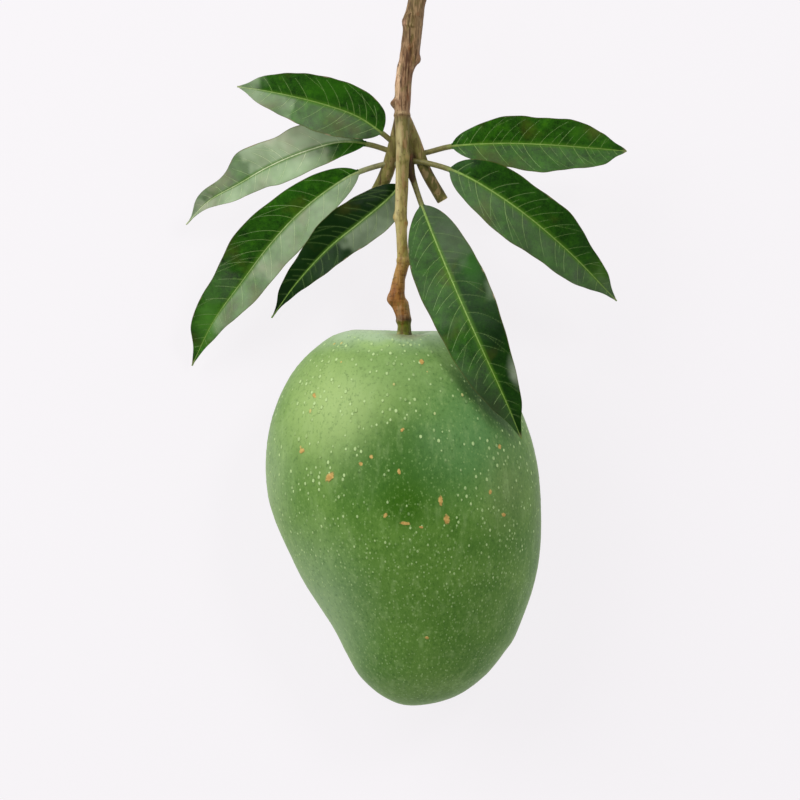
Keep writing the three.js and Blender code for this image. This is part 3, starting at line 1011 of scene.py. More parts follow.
@dataclass
class Fruit:
    """The mango itself: flesh in its skin, with its lenticels and scars."""

    half_width: float = 47.1
    cheek_half_thickness: float = 41.5
    cheek_drop: float = 39.8
    flat_spot_depth: float = 0.9
    flat_spot_easing: float = 0.15
    stem_lift: float = 6.0
    stem_lift_fade: float = 4.0
    stem_narrowing: float = 0.16
    stem_narrowing_fade: float = 3.0
    row_crowding: float = 0.07
    stem_x: float = -0.5
    stem_rise: float = 8.7
    dimple_depth: float = 4.2
    dimple_radius: float = 8.0
    dimple_fade: tuple[float, float] = (30.0, 52.0)
    puckers: int = 9
    pucker_depth: float = 0.16
    rows: int = 216
    sides: int = 220
    scar_rings: int = 5
    scar_sides: int = 18
    scar_rise: float = 0.14
    scar_root: float = 0.02
    scar_raggedness: float = 0.28
    scar_lobes: float = 2.0
    scar_variety: float = 3.1
    probe_height: float = 200.0
    core_y: float = -4.0
    unevenness: tuple[Lumps, ...] = table(Lumps, (0.3, 19), (0.07, 6, 5))
    # Where pores open: from which height, where they thin out, and the upper cheek's bare spot.
    pores_from_z: tuple[float, float] = (0.3, 1.5)
    pores_thin_out_y: tuple[float, float] = (-50.0, 20.0)
    bare_spot: Point = (-1.0, 6.0, 79.0)
    bare_edge: tuple[float, float] = (11.0, 24.0)
    bare_share: float = 0.15
    # How large they are: from where to where they grow, their spread, and the form of one lens.
    pores_grow_y: tuple[float, float] = (-45.0, 15.0)
    pore_spread: tuple[float, float] = (0.62, 1.3)
    pore_form: Point = (0.95, 1.3, 0.12)
    tone_seed: int = 7
    levels: tuple[OutlineLevel, ...] = table(
        OutlineLevel,
        (58.7, -0.5, -0.5), (58.7, -19, 12.5), (53.4, -30.2, 21.8), (40.9, -41, 34.8),
        (22.2, -47.4, 43.4), (0, -47.1, 47.1), (-22.9, -37.8, 46), (-44.4, -24.8, 39.4),
        (-53, -20.4, 34.3), (-61.4, -15.2, 27.2), (-68.6, -6.8, 15.9), (-71.4, 2.4, 2.4),
    )
    scars: tuple[Scar, ...] = table(
        Scar,
        (-25.3, 8.8, 4.6, 2.9, -35), (13.9, -5.4, 3.9, 2.4, 8), (11.9, 0.9, 4.2, 1.7, 5),
        (5.6, 47.6, 2.4, 2, 30), (-30.8, 36.2, 2.2, 1.4, 10), (-35, 17.5, 2.5, 2.1, 0),
        (-2.1, 10.6, 2.2, 1.4, 5), (0, -6.7, 4, 1.4, 85), (32, 18.9, 2, 1.3, 10),
        (28.7, 3.6, 2, 1.4, 0), (-11.4, 15.6, 1.7, 1.5, 0), (-14.9, 13.3, 1.7, 1.5, 30),
        (-1, 24.6, 2, 1.3, -40), (-6.6, -3.9, 2.2, 1.5, -30), (7.4, -45.9, 1.7, 1.1, 80),
        (33.4, -4.2, 1.9, 1.6, 60), (5.4, -8, 1.9, 1.1, 80), (-20, 20, 3.4, 1.6, 40, False),
        (16, -14, 2.2, 1.5, -15, False), (26, 24, 1.6, 1.2, 60, False),
    )

    @property
    def middle_z(self) -> float:
        """Height of the fruit's middle above what it lies on."""
        return self.cheek_drop - self.flat_spot_depth

    def outline(self) -> SmoothPath:
        """The broad face's outline: down the left side, then up the right side.

        Returns:
            The closed curve, in the plane of the broad face.
        """
        left = [(level.left, level.height) for level in self.levels]
        right = [(level.right, level.height) for level in self.levels[-2:0:-1]]
        return SmoothPath(left + right, closed=True)

    def sink_dimple(self, places: np.ndarray) -> np.ndarray:
        """Pulls the stem end in round the stalk, with faint puckers.

        Args:
            places: Points on the plain fruit.

        Returns:
            The same points with the dimple in them.
        """
        sideways = places[..., 0] - self.stem_x
        upwards = places[..., 2] - (self.middle_z + self.stem_rise)
        away = np.hypot(sideways, upwards) / self.dimple_radius
        depth = self.dimple_depth * np.exp(-away * away)
        waves = self.pucker_depth * np.cos(self.puckers * np.arctan2(upwards, sideways))
        pucker = waves * away * np.exp(-2 * away * away)
        sunk = places.copy()
        sunk[..., 1] -= (depth + pucker) * smoothstep(places[..., 1], *self.dimple_fade)
        return sunk

    def body(self) -> bpy.types.Object:
        """Makes the flesh in its skin.

        Returns:
            The closed body, uneven as grown flesh is, and flat where it lies.
        """
        even = np.arange(1, self.rows) / self.rows
        along = even - self.row_crowding * np.sin(2 * np.pi * even)
        curve = self.outline()
        left, right = curve.at(along / 2), curve.at(1 - along / 2)
        middle, reach = (left + right) / 2, (right - left) / 2
        lift = self.stem_lift * (1 - along) ** self.stem_lift_fade
        narrowing = self.stem_narrowing * (1 - along) ** self.stem_narrowing_fade
        flatness = self.cheek_half_thickness / self.half_width * (1 - narrowing)
        angle = round_angles(self.sides)
        rings = np.empty((len(along), self.sides, 3))
        rings[..., :2] = middle[:, None] + reach[:, None] * np.cos(angle)[None, :, None]
        half_height = np.linalg.norm(reach, axis=1) * flatness
        rings[..., 2] = (self.middle_z + lift)[:, None] + half_height[:, None] * np.sin(angle)
        pole_z = self.middle_z + np.array([self.stem_lift, 0.0])
        poles = np.column_stack([curve.at(np.array([0.0, 0.5])), pole_z])
        places = self.sink_dimple(np.concatenate([rings.reshape(-1, 3), poles]))

        outwards = unit(places - np.array([0.0, self.core_y, self.middle_z]))
        uneven = sum(lumps.at(places) for lumps in self.unevenness)
        places += outwards * uneven[:, None]
        places[:, 2] = (places[:, 2] + np.hypot(places[:, 2], self.flat_spot_easing)) / 2
        return loft("mango_flesh_and_skin", places[:-2].reshape(rings.shape), places[-2:])

    def lenticel_tree(self) -> bpy.types.NodeTree:
        """Builds the tree that strews small lens-shaped pores over the skin.

        Returns:
            The geometry tree. It strews them densely and small at the tip, sparsely and large
            at the stem end, each longer along the fruit than across it.
        """
        tree = geometry_tree("lenticels", {
            "Density": "Float", "Spacing": "Float", "Stem End Share": "Float",
            "Tip Radius": "Float", "Stem End Radius": "Float", "Seed": "Int",
            "Material": "Material"})
        add = partial(add_node, tree)
        given = add("NodeGroupInput").node.outputs
        places = add("GeometryNodeInputPosition")
        level, height = (
            add("ShaderNodeSeparateXYZ", {"Vector": places}, axis) for axis in ("Z", "Y")
        )
        # None opens where the fruit lies, and few on the darkest green of the upper cheek.
        bare_spot = [c * MM for c in self.bare_spot]
        away = add("ShaderNodeVectorMath", {0: places, 1: bare_spot}, "Value",
                   operation="DISTANCE")
        off_ground, thinning, bare, radius = (
            add("ShaderNodeMapRange", {
                "Value": value, "From Min": start * MM, "From Max": end * MM,
                "To Min": first, "To Max": last})
            for value, (start, end), first, last in (
                (level, self.pores_from_z, 0.0, 1.0),
                (height, self.pores_thin_out_y, 1.0, given["Stem End Share"]),
                (away, self.bare_edge, self.bare_share, 1.0),
                (height, self.pores_grow_y, given["Tip Radius"], given["Stem End Radius"]),
            )
        )
        share = off_ground
        for factor in (thinning, bare):
            share = add("ShaderNodeMath", {0: share, 1: factor}, operation="MULTIPLY")
        points = add("GeometryNodeDistributePointsOnFaces", {
            "Mesh": given["Geometry"],
            "Distance Min": given["Spacing"],
            "Density Max": given["Density"],
            "Density Factor": share,
            "Seed": given["Seed"],
        }, distribute_method="POISSON")
        least, most = self.pore_spread
        chance = add("FunctionNodeRandomValue", {2: least, 3: most, "Seed": given["Seed"]}, 1)
        sized = add("ShaderNodeMath", {0: radius, 1: chance}, operation="MULTIPLY")
        stretch = add("ShaderNodeVectorMath", {0: self.pore_form, "Scale": sized},
                      operation="SCALE")
        lengthwise = add("FunctionNodeAlignRotationToVector", {
            "Rotation": points.node.outputs["Rotation"], "Vector": (0.0, 1.0, 0.0),
        }, axis="Y", pivot_axis="Z")
        lens = add("GeometryNodeMeshUVSphere", {"Segments": 10, "Rings": 4, "Radius": 1.0})
        crown = add("ShaderNodeSeparateXYZ", {"Vector": add("GeometryNodeInputPosition")}, "Z")
        crowned = add("GeometryNodeStoreNamedAttribute", {
            "Geometry": lens, "Name": "crown", "Value": crown})
        spots = add("GeometryNodeInstanceOnPoints", {
            "Points": points, "Instance": crowned, "Rotation": lengthwise, "Scale": stretch})
        tones = add("FunctionNodeRandomValue", {2: 0.0, 3: 1.0, "Seed": self.tone_seed}, 1)
        toned = add("GeometryNodeStoreNamedAttribute", {
            "Geometry": spots, "Name": "tone", "Value": tones}, domain="INSTANCE")
        real = add("GeometryNodeRealizeInstances", {"Geometry": toned})
        smooth = add("GeometryNodeSetShadeSmooth", {"Geometry": real})
        dressed = add("GeometryNodeSetMaterial", {
            "Geometry": smooth, "Material": given["Material"]})
        add("NodeGroupOutput", {"Geometry": dressed})
        return tree

    def scar_mesh(self, skin: bpy.types.Object) -> bpy.types.Object:
        """Makes the corky scars as low, ragged mounds on the skin.

        Args:
            skin: The finished body that they lie on.

        Returns:
            One piece with all scars.
        """
        surface = BVHTree.FromObject(skin, bpy.context.evaluated_depsgraph_get())
        lobes = self.scar_lobes
        mounds = bmesh.new()
        crown = mounds.verts.layers.float.new("crown")
        for number, scar in enumerate(self.scars):
            upwards = 1.0 if scar.above else -1.0
            turn = math.radians(scar.turn)
            grid: list[list[bmesh.types.BMVert]] = []
            for ring in range(self.scar_rings + 1):
                share = ring / self.scar_rings
                row = []
                # The first ring is a single point.
                for angle in round_angles(self.scar_sides if ring else 1).tolist():
                    around = Vector((lobes * math.cos(angle), lobes * math.sin(angle),
                                     self.scar_variety * number))
                    half = share * (1 + self.scar_raggedness * noise.noise(around)) / 2
                    a = half * scar.width * math.cos(angle)
                    b = half * scar.length * math.sin(angle)
                    x = scar.x + a * math.cos(turn) - b * math.sin(turn)
                    y = scar.y + a * math.sin(turn) + b * math.cos(turn)
                    start = Vector((x * MM, y * MM, self.probe_height * upwards * MM))
                    place, normal, _, _ = surface.ray_cast(start, Vector((0.0, 0.0, -upwards)))
                    rise = self.scar_rise * (1 - share**2) - self.scar_root
                    vertex = mounds.verts.new(place + normal * rise * MM)
                    vertex[crown] = 1.0 - share
                    row.append(vertex)
                grid.append(row if ring else row * self.scar_sides)
            for inner, outer in zip(grid, grid[1:]):
                for side in range(self.scar_sides):
                    after = (side + 1) % self.scar_sides
                    corners = [inner[side], outer[side], outer[after], inner[after]]
                    mounds.faces.new(list(dict.fromkeys(corners)))
            mounds.faces.new(list(reversed(grid[-1])))
        name = "mango_skin_scars"
        return shell_object(name, mounds, bpy.data.meshes.new(name))

    def build(self) -> None:
        """Makes, dresses and settles the fruit's three pieces."""
        skin = self.body()
        values = {
            "Density": 230000.0,
            "Spacing": 1.3 * MM,
            "Stem End Share": 0.31,
            "Tip Radius": 0.25 * MM,
            "Stem End Radius": 0.52 * MM,
            "Seed": 11,
            "Material": LenticelCork().build(),
        }
        lenticels = grow(skin, self.lenticel_tree(), values, "mango_skin_lenticels")
        scars = self.scar_mesh(skin)
        scars.data.materials.append(ScarCork().build())
        skin.data.materials.append(MangoRind().build())
        settle(skin, "fruit")
        settle(lenticels)
        settle(scars)


@dataclass(frozen=True)
class Station:
    """A place on a branch's axis, and the branch's radius there."""

    place: Point
    radius: float


@dataclass(frozen=True)
class Swelling:
    """A knuckle, scar or ring on the stalk: where it is, and how far it pushes the bark out."""

    height: float
    reach: float
    length: float
    facing: float | None = None


@dataclass
class Stalk:
    """The fruit's stalk and the woody end of the twig, with the bud and two short cut stubs."""

    axis: tuple[Station, ...] = table(
        Station,
        ((-0.4, 51.8, 47.2), 2.9), ((-0.3, 56.4, 47.5), 2.6), ((-0.3, 60.4, 47.7), 2.25),
        ((-0.9, 64.8, 47.9), 2.6), ((-2.5, 70, 48.1), 2.5), ((-2.2, 75.6, 48.3), 2.15),
        ((-0.8, 81.6, 48.5), 2), ((-1.1, 90.1, 48.7), 1.85), ((-1.4, 98.8, 48.8), 2.1),
        ((-1.1, 107.5, 48.8), 2.2), ((-0.9, 121.3, 48.6), 2.25), ((-1, 131, 48), 2.5),
        ((-0.8, 138.7, 47.4), 2.65), ((-0.2, 147.3, 47), 2.75), ((1.4, 152.8, 46.8), 3.15),
        ((2.1, 158, 46.7), 3.25), ((2.9, 164.4, 46.6), 3.3), ((3.8, 170.4, 46.5), 3),
        ((5, 176, 46.5), 2.9),
    )
    # Two short cut stubs, then the bud.
    branches: tuple[tuple[Station, ...], ...] = (
        table(Station, ((-1.4, 132, 46.6), 2.2), ((-3.6, 122.5, 44), 2.3),
              ((-6.4, 113.2, 40.8), 2.4), ((-10.4, 105.2, 37.6), 2.45)),
        table(Station, ((-0.6, 132.6, 46.4), 2.2), ((3, 124.4, 44.6), 2.3),
              ((7.2, 113.8, 43.4), 2), ((13.1, 103.6, 42.6), 2)),
        table(Station, ((-0.4, 128, 46), 1.8), ((0.6, 121, 44.9), 2.2), ((1.3, 115.6, 44.6), 1.9),
              ((2.4, 111.6, 44.8), 1.25), ((3, 109.4, 45), 0.6)),
    )
    # The knuckles and rings that the node has too, then finer ones.
    swellings: tuple[Swelling, ...] = table(
        Swelling,
        (62, 0.35, 0.9), (69.8, 1.3, 1.8, 170), (67.2, 0.5, 1.6, 30), (82.4, 0.8, 1.2, 15),
        (82.6, 0.3, 0.9), (97.6, 0.8, 1.5, 160), (95.4, 0.45, 1.2, 20), (118.4, 0.55, 1.5, 40),
        (132.6, 0.4, 0.8), (136.6, 1.6, 1.4, 172), (152.6, 0.9, 1.4, -8), (165, 0.8, 1.8, 150),
        (56.9, 0.5, 0.7, 0), (57.3, 0.4, 0.5, 70), (57, 0.35, 0.5, 150), (63.4, 0.3, 0.5, 70),
        (66, 0.25, 0.7, 130), (71.6, 0.35, 0.6, 95), (74.4, 0.25, 1.6, 60), (78, 0.2, 1.2, 120),
        (90.5, 0.15, 0.8, 100), (97, 0.2, 0.5, 75), (108, 0.12, 1, 110), (116.8, 0.4, 0.7, 60),
        (126.5, 0.15, 1.1, 100), (139.5, 0.3, 2.2, 60), (143, 0.3, 2, 120), (147, 0.35, 2.4, 75),
        (156, 0.3, 1, 110), (163.4, 0.35, 0.5, 120), (166.8, 0.35, 0.5, 125),
    )
    sharpness: float = 3.0
    ring_step: float = 0.4
    sides: int = 40
    voxel: float = 0.24
    smoothing: int = 3
    cut_edge: tuple[float, float] = (-0.35, -0.1)
    cut_reach: float = 4.0
    cut_fade: float = 0.22
    wood_from: tuple[float, float] = (129.0, 137.0)
    knuckles_from: tuple[float, float] = (62.0, 65.0)
    knuckles_to: tuple[float, float] = (79.0, 85.0)
    rings_at: tuple[tuple[float, float], ...] = ((132.8, 1.6), (62.4, 1.0))
    ridges: Lumps = Lumps(1.0, 1.3, 3, (1.0, 0.14, 1.0))
    creases: Lumps = Lumps(1.0, 0.8, 6, (0.35, 1.0, 0.35))
    lumps: Lumps = Lumps(1.0, 3.2, 8)
    # Depths everywhere, more on the wood, and more on the knuckles.
    ridge_depths: Point = (0.02, 0.13, 0.05)
    lump_depths: Point = (0.04, 0.08, 0.1)
    crease_depth: float = 0.05
    crease_level: float = 0.4
    bark_rise: float = 0.02

    def push(self, height: np.ndarray, angle: np.ndarray) -> np.ndarray:
        """How far the swellings push the bark out.

        Args:
            height: Places along the stalk.
            angle: Directions round it, from +X towards +Z.

        Returns:
            The reach out from the plain stalk.
        """
        total = np.zeros(np.broadcast(height, angle).shape)
        for swelling in self.swellings:
            along = (height - swelling.height) / swelling.length
            if swelling.facing is None:
                towards = 1.0
            else:
                towards = np.cos(angle - math.radians(swelling.facing))
            bulge = np.maximum(0.0, towards) ** self.sharpness
            total += swelling.reach * np.exp(-along * along) * bulge
        return total

    def tube(self, stations: Sequence[Station], swollen: bool) -> bpy.types.Object:
        """Makes a closed tube of changing radius through the stations.

        Args:
            stations: The axis with its radii.
            swollen: Whether the stalk's swellings push its surface out.

        Returns:
            The tube.
        """
        path = SmoothPath([station.place for station in stations])
        share = np.linspace(0.0, 1.0, math.ceil(path.length / self.ring_step))
        centre = path.at(share)
        ahead = unit(np.gradient(centre, axis=0))
        spots = share * (len(stations) - 1)
        radius = np.interp(spots, range(len(stations)), [station.radius for station in stations])
        across = unit(np.cross((0.0, 0.0, 1.0), ahead))
        up = unit(np.cross(ahead, across))
        angle = round_angles(self.sides)
        reach = np.repeat(radius[:, None], self.sides, axis=1)
        if swollen:
            reach += self.push(centre[:, 1:2], np.pi - angle[None, :])
        rings = centre[:, None] + across[:, None] * (reach * np.cos(angle))[..., None]
        rings += up[:, None] * (reach * np.sin(angle))[..., None]
        return loft("stalk_form", rings, centre[[0, -1]])

    def build(self) -> None:
        """Makes, dresses and settles the stalk, as one grown skin over the node's form."""
        joined = bmesh.new()
        for chain in (self.axis, *self.branches):
            tube = self.tube(chain, swollen=chain is self.axis)
            joined.from_mesh(tube.data)
            bpy.data.objects.remove(tube)
        form = bpy.data.meshes.new("stalk_form")
        joined.to_mesh(form)
        joined.free()
        carrier = mesh_object("stalk_form", form)
        remesh = carrier.modifiers.new("grown", "REMESH")
        remesh.mode = "VOXEL"
        remesh.voxel_size = self.voxel * MM
        melt = carrier.modifiers.new("melt", "SMOOTH")
        melt.factor = 0.5
        melt.iterations = self.smoothing
        piece = mesh_object("stalk_and_twig", evaluated_mesh(carrier))
        bpy.data.objects.remove(carrier)
        places = read_vectors(piece.data.vertices, "co").astype(float) / MM
        mark(piece, "cut", self.cut_share(places))
        self.wrinkle(piece, places)
        piece.data.materials.clear()
        piece.data.materials.append(TwigBark().build())
        piece.data.shade_smooth()
        settle(piece, "stalk")

    def cut_share(self, places: np.ndarray) -> np.ndarray:
        """Finds the cut faces of the twig's end and of both stubs.

        Args:
            places: Points on the bark.

        Returns:
            For each point 1 in the pith, falling to 0 at the bark.
        """
        cut = np.zeros(len(places))
        for chain in (self.axis, *self.branches[:2]):
            before, end = (np.array(station.place) for station in chain[-2:])
            facing = unit(end - before)
            depth = (places - end) @ facing
            away = np.linalg.norm(places - end - depth[:, None] * facing, axis=1)
            on_face = smoothstep(depth, *self.cut_edge) * (away < self.cut_reach)
            cut = np.maximum(cut, on_face * (1.0 - self.cut_fade * away))
        return cut

    def wrinkle(self, piece: bpy.types.Object, places: np.ndarray) -> None:
        """Raises lengthwise wrinkles in the bark, deepest on the wood.

        Args:
            piece: The smooth stalk, whose vertices are moved.
            places: Where they are now, in millimetres.
        """
        height = places[:, 1]
        ridges = 1 - 2 * np.abs(self.ridges.at(places))
        creases = 1 - 2 * np.abs(self.creases.at(places))
        lumps = self.lumps.at(places)
        wood = smoothstep(height, *self.wood_from)
        above = smoothstep(height, *self.knuckles_to)
        knuckle = smoothstep(height, *self.knuckles_from) * (1 - above)
        ring = sum(np.exp(-(((height - middle) / width) ** 2)) for middle, width in self.rings_at)
        creased = np.minimum(1.0, knuckle + ring)
        plain, on_wood, on_knuckle = self.ridge_depths
        push = ridges * (plain + on_wood * wood + on_knuckle * knuckle)
        plain, on_wood, on_knuckle = self.lump_depths
        push += lumps * (plain + on_knuckle * knuckle + on_wood * wood)
        push += self.bark_rise + self.crease_depth * (creases - self.crease_level) * creased
        moved = places + read_vectors(piece.data.vertex_normals, "vector") * push[:, None]
        piece.data.vertices.foreach_set("co", (moved * MM).astype(np.float32).ravel())
        piece.data.update()
        mark(piece, "knuckle", creased)


@dataclass(frozen=True)
class BladeHalf:
    """One half of a blade: its widest reach, and the powers that shape its base and tip."""

    reach: float
    base: float
    tip: float

    def profile(self, along: np.ndarray) -> np.ndarray:
        """The reach at shares of the blade's length.

        Args:
            along: Shares from 0 at the base to 1 at the tip.

        Returns:
            Millimetres.
        """
        peak = self.base / (self.base + self.tip)
        most = peak**self.base * (1 - peak) ** self.tip
        return self.reach * along**self.base * (1 - along) ** self.tip / most


@dataclass(frozen=True)
class Margin:
    """The waves of a blade's margin: their height, in-plane ripple, count and start."""

    height: float
    ripple: float
    turns: float
    start: float

    def wave(self, along: np.ndarray) -> np.ndarray:
        """The wave at shares of the blade's length, between -1 and 1."""
        return np.sin(2 * np.pi * (self.turns * along + self.start))


@dataclass(frozen=True)
class PaintedSheen:
    """A stretch of one half of a blade with a painted sheen: a pale grey-green reflection painted
    into its colour.
    """

    side: Side
    start: float
    end: float
    strength: float


@dataclass(frozen=True)
class Vein:
    """A side vein: its run over the blade, and its radius along the run."""

    along: np.ndarray
    column: np.ndarray
    radius: np.ndarray


@dataclass
class Leaf:
    """One mango leaf: blade, and the rib network from petiole to side veins."""

    name: str
    midrib: tuple[Point, ...]
    petiole: float
    left: BladeHalf
    right: BladeHalf
    fold: float
    roll: Point
    margin: Margin
    # Where the blade's halves carry a painted sheen.
    painted_sheens: tuple[PaintedSheen, ...] = ()
    seed: int = 1
    # How dark each half is, partly older leaf and partly painted shade.
    age: tuple[float, float] = (0.05, 0.05)
    dry_tip: float = 0.6
    stations: int = 150
    columns: int = 45
    rib_stations: int = 90
    petiole_radius: float = 0.95
    midrib_tip_radius: float = 0.3
    vein_radius: float = 0.12
    fold_easing: float = 0.12
    full_wave_reach: float = 6.0
    upper_rise: float = 0.3
    tip_narrowing: float = 0.3
    narrowing_from: tuple[float, float] = (0.84, 0.95)
    least_reach: float = 0.12
    nibble_depth: float = 0.09
    nibble_turns: float = 8.3
    end_crowding: float = 0.05
    quilt_height: float = 0.15
    quilt_easing: float = 1.2
    quilt_from: tuple[float, float] = (0.3, 2.0)
    margin_thickness: float = 0.22
    rib_thickening: float = 0.33
    petiole_flare: tuple[float, float] = (0.3, 0.04)
    rib_show: float = 0.17
    rib_sinking: float = 0.1
    # How much of the painted sheen the midrib takes.
    rib_sheen: float = 0.45
    vein_sinking: float = 0.4
    vein_glow: float = 0.55
    vein_taper: float = 0.75
    vein_thinning: float = 0.35
    vein_spacing: float = 5.8
    vein_end: float = 0.985
    # What chance picks for each side vein, and the shares that fork or have a short one behind.
    vein_steps: tuple[float, float] = (0.65, 1.35)
    vein_slopes: tuple[float, float] = (0.32, 0.66)
    vein_bends: tuple[float, float] = (0.025, 0.06)
    vein_sizes: tuple[float, float] = (0.55, 1.0)
    vein_reaches: tuple[float, float] = (0.7, 0.97)
    fork_share: float = 0.35
    fork_slope: float = 0.75
    short_share: float = 0.4
    short_size: float = 0.45
    nicks: Lumps = Lumps(1.0, 2.6, 9)
    nick_strength: float = 0.7
    sheen_share: float = 0.8
    sheen_clouds: tuple[Lumps, ...] = table(Lumps, (0.35, 8, 2), (0.15, 2.4, 4))
    sheen_edge: Lumps = Lumps(0.06, 3, 6)
    sheen_easing: float = 0.05
    path: SmoothPath = field(init=False)
    blade_length: float = field(init=False)
    veins: list[Vein] = field(init=False)

    def __post_init__(self) -> None:
        """Fits the midrib's curve and runs the side veins."""
        self.path = SmoothPath(self.midrib)
        self.blade_length = self.path.length * (1 - self.petiole)
        self.veins = self.side_veins()

    def rib_radius(self, along: np.ndarray) -> np.ndarray:
        """The midrib's radius at shares of the blade's length."""
        return self.petiole_radius + (self.midrib_tip_radius - self.petiole_radius) * np.sqrt(along)

    def frame_at(self, along: np.ndarray) -> tuple[np.ndarray, np.ndarray, np.ndarray]:
        """Finds the midrib's place and the directions across and up from it.

        Args:
            along: Shares of the blade's length.

        Returns:
            The midrib's points, and the unit directions to the right and up.
        """
        centre, ahead = self.path.by_length(self.petiole + (1 - self.petiole) * along)
        turn = np.radians(np.interp(along, (0.0, 0.5, 1.0), self.roll))[:, None]
        level = unit(np.cross(ahead, (0.0, 0.0, 1.0)))
        across = level * np.cos(turn) + np.cross(ahead, level) * np.sin(turn)
        return centre, across, unit(np.cross(across, ahead))

    def reach(self, along: np.ndarray, column: np.ndarray) -> np.ndarray:
        """The blade's reach on the side of each column.

        Args:
            along: Shares of the blade's length.
            column: Shares of the reach, negative on the left half.

        Returns:
            Millimetres from the midrib to the margin.
        """
        middle = np.sin(np.pi * along)
        ripple = self.margin.ripple * self.margin.wave(along) * np.sign(column) * middle
        turns = self.nibble_turns * along + 3 * self.margin.start
        nibble = self.nibble_depth * np.sin(2 * np.pi * turns) * middle
        plain = np.where(column < 0, self.left.profile(along), self.right.profile(along))
        plain = plain * (1 - self.tip_narrowing * smoothstep(along, *self.narrowing_from))
        least = self.least_reach + self.rib_radius(along) * (1 - along)
        return np.maximum(least, plain + ripple + nibble)

    def run_vein(
        self, root: float, shares: np.ndarray, slope: float, bend: float, size: float
    ) -> Vein | None:
        """Runs one side vein outwards and forwards over the blade.

        Args:
            root: Where it starts, as a share of the blade's length.
            shares: Its run across the half, from 0 at the midrib to 1 at the margin, with the
                half's sign.
            slope: How far it goes forwards for each millimetre outwards.
            bend: How much it turns towards the tip.
            size: Its thickness, 1 for the thickest.

        Returns:
            The vein, or none where the blade has no room for it.
        """
        along = np.full(len(shares), root)
        for _ in range(6):
            out = np.abs(shares) * self.reach(np.clip(along, 0, 1), shares)
            ahead = slope * (out - out[0]) + bend * (out**2 - out[0] ** 2)
            along = root + ahead / self.blade_length
        inside = along < self.vein_end
        if inside.sum() < 4:
            return None
        radius = self.vein_radius * size * (1 - self.vein_taper * np.abs(shares))
        radius = radius * (1 - self.vein_thinning * root)
        return Vein(along[inside], shares[inside], radius[inside])

    def side_veins(self) -> list[Vein]:
        """Runs the side veins: uneven, some forked, with short thin ones between them.

        Returns:
            The veins that the blade has room for.
        """
        chance = np.random.default_rng(self.seed)
        veins: list[Vein | None] = []
        for side in Side:
            root = chance.uniform(0.02, 0.06)
            while root < 0.93:
                ranges = (self.vein_steps, self.vein_slopes, self.vein_bends,
                          self.vein_sizes, self.vein_reaches)
                stride, slope, bend, size, far = (chance.uniform(*limits) for limits in ranges)
                step = self.vein_spacing / self.blade_length * stride
                fork, short, place = chance.random(3)
                main = self.run_vein(
                    root, side.value * np.linspace(0.02, far, 24), slope, bend, size
                )
                start = int(8 + 8 * place)
                if main is not None and fork < self.fork_share and start < len(main.along):
                    shares = side.value * np.linspace(abs(main.column[start]), 0.97, 16)
                    veins.append(self.run_vein(
                        main.along[start], shares, slope + self.fork_slope, bend, 0.75 * size))
                if short < self.short_share:
                    shares = side.value * np.linspace(0.02, 0.25 + 0.3 * place, 14)
                    between = root + step * (0.4 + 0.2 * place)
                    veins.append(self.run_vein(between, shares, slope, bend, self.short_size))
                veins.append(main)
                root += step
        return [vein for vein in veins if vein is not None]

    def surface(self, along: np.ndarray, column: np.ndarray) -> tuple[np.ndarray, np.ndarray]:
        """Finds places on the blade's upper face.

        Args:
            along: Shares of the blade's length.
            column: Shares of the reach, negative on the left half.

        Returns:
            The points, and the direction up from the blade at each.
        """
        centre, across, up = self.frame_at(along)
        side = np.sign(column)
        reach = self.reach(along, column)
        out = np.abs(column) * reach
        fold = np.radians(self.fold) * smoothstep(along, 0.0, self.fold_easing)
        height = self.margin.height * np.minimum(1.0, reach / self.full_wave_reach)
        wave = height * self.margin.wave(along) * side * column * column
        rise = out * np.sin(fold) + wave + self.upper_rise
        return centre + across * (side * out * np.cos(fold))[:, None] + up * rise[:, None], up

    def vein_distance(self, places: np.ndarray) -> np.ndarray:
        """The distance from each place on the blade to the nearest side vein, in millimetres.

        Args:
            places: Points on the blade, in millimetres.

        Returns:
            One distance for each place.
        """
        runs = np.concatenate([self.surface(vein.along, vein.column)[0] for vein in self.veins])
        near = np.linalg.norm(runs[1:] - runs[:-1], axis=1) < 1.5
        points = np.concatenate([runs, ((runs[1:] + runs[:-1]) / 2)[near]])
        finder = KDTree(len(points))
        for number, point in enumerate(points.tolist()):
            finder.insert(point, number)
        finder.balance()
        return np.array([finder.find(place)[2] for place in places.tolist()])

    def blade(self) -> bpy.types.Object:
        """Makes the blade as one thin closed shell.

        Returns:
            The blade, with the marks that its material reads.
        """
        even = np.linspace(0.0, 1.0, self.stations)
        stations = even - self.end_crowding * np.sin(2 * np.pi * even)
        columns = np.sin(np.linspace(-np.pi / 2, np.pi / 2, self.columns))
        along = np.repeat(stations, self.columns)
        column = np.tile(columns, self.stations)
        upper, up = self.surface(along, column)
        distance = self.vein_distance(upper)
        out = np.abs(column) * self.reach(along, column)
        # Between two side veins the blade bulges up a little.
        quilt = self.quilt_height * (1 - np.exp(-((distance / self.quilt_easing) ** 2)))
        quilt *= smoothstep(out, *self.quilt_from) * (1 - column**4)
        upper += up * quilt[:, None]
        thickness = self.margin_thickness + self.rib_thickening * (1 - column**2)
        lower = upper - up * thickness[:, None]
        flat = (self.stations, self.columns)
        rings = np.concatenate(
            [upper.reshape(*flat, 3), lower.reshape(*flat, 3)[:, ::-1]], axis=1
        )
        piece = loft(f"{self.name}_blade", rings, rings[[0, -1], self.columns // 2])
        none, dry = np.zeros(len(along)), self.dryness(along, column, upper)
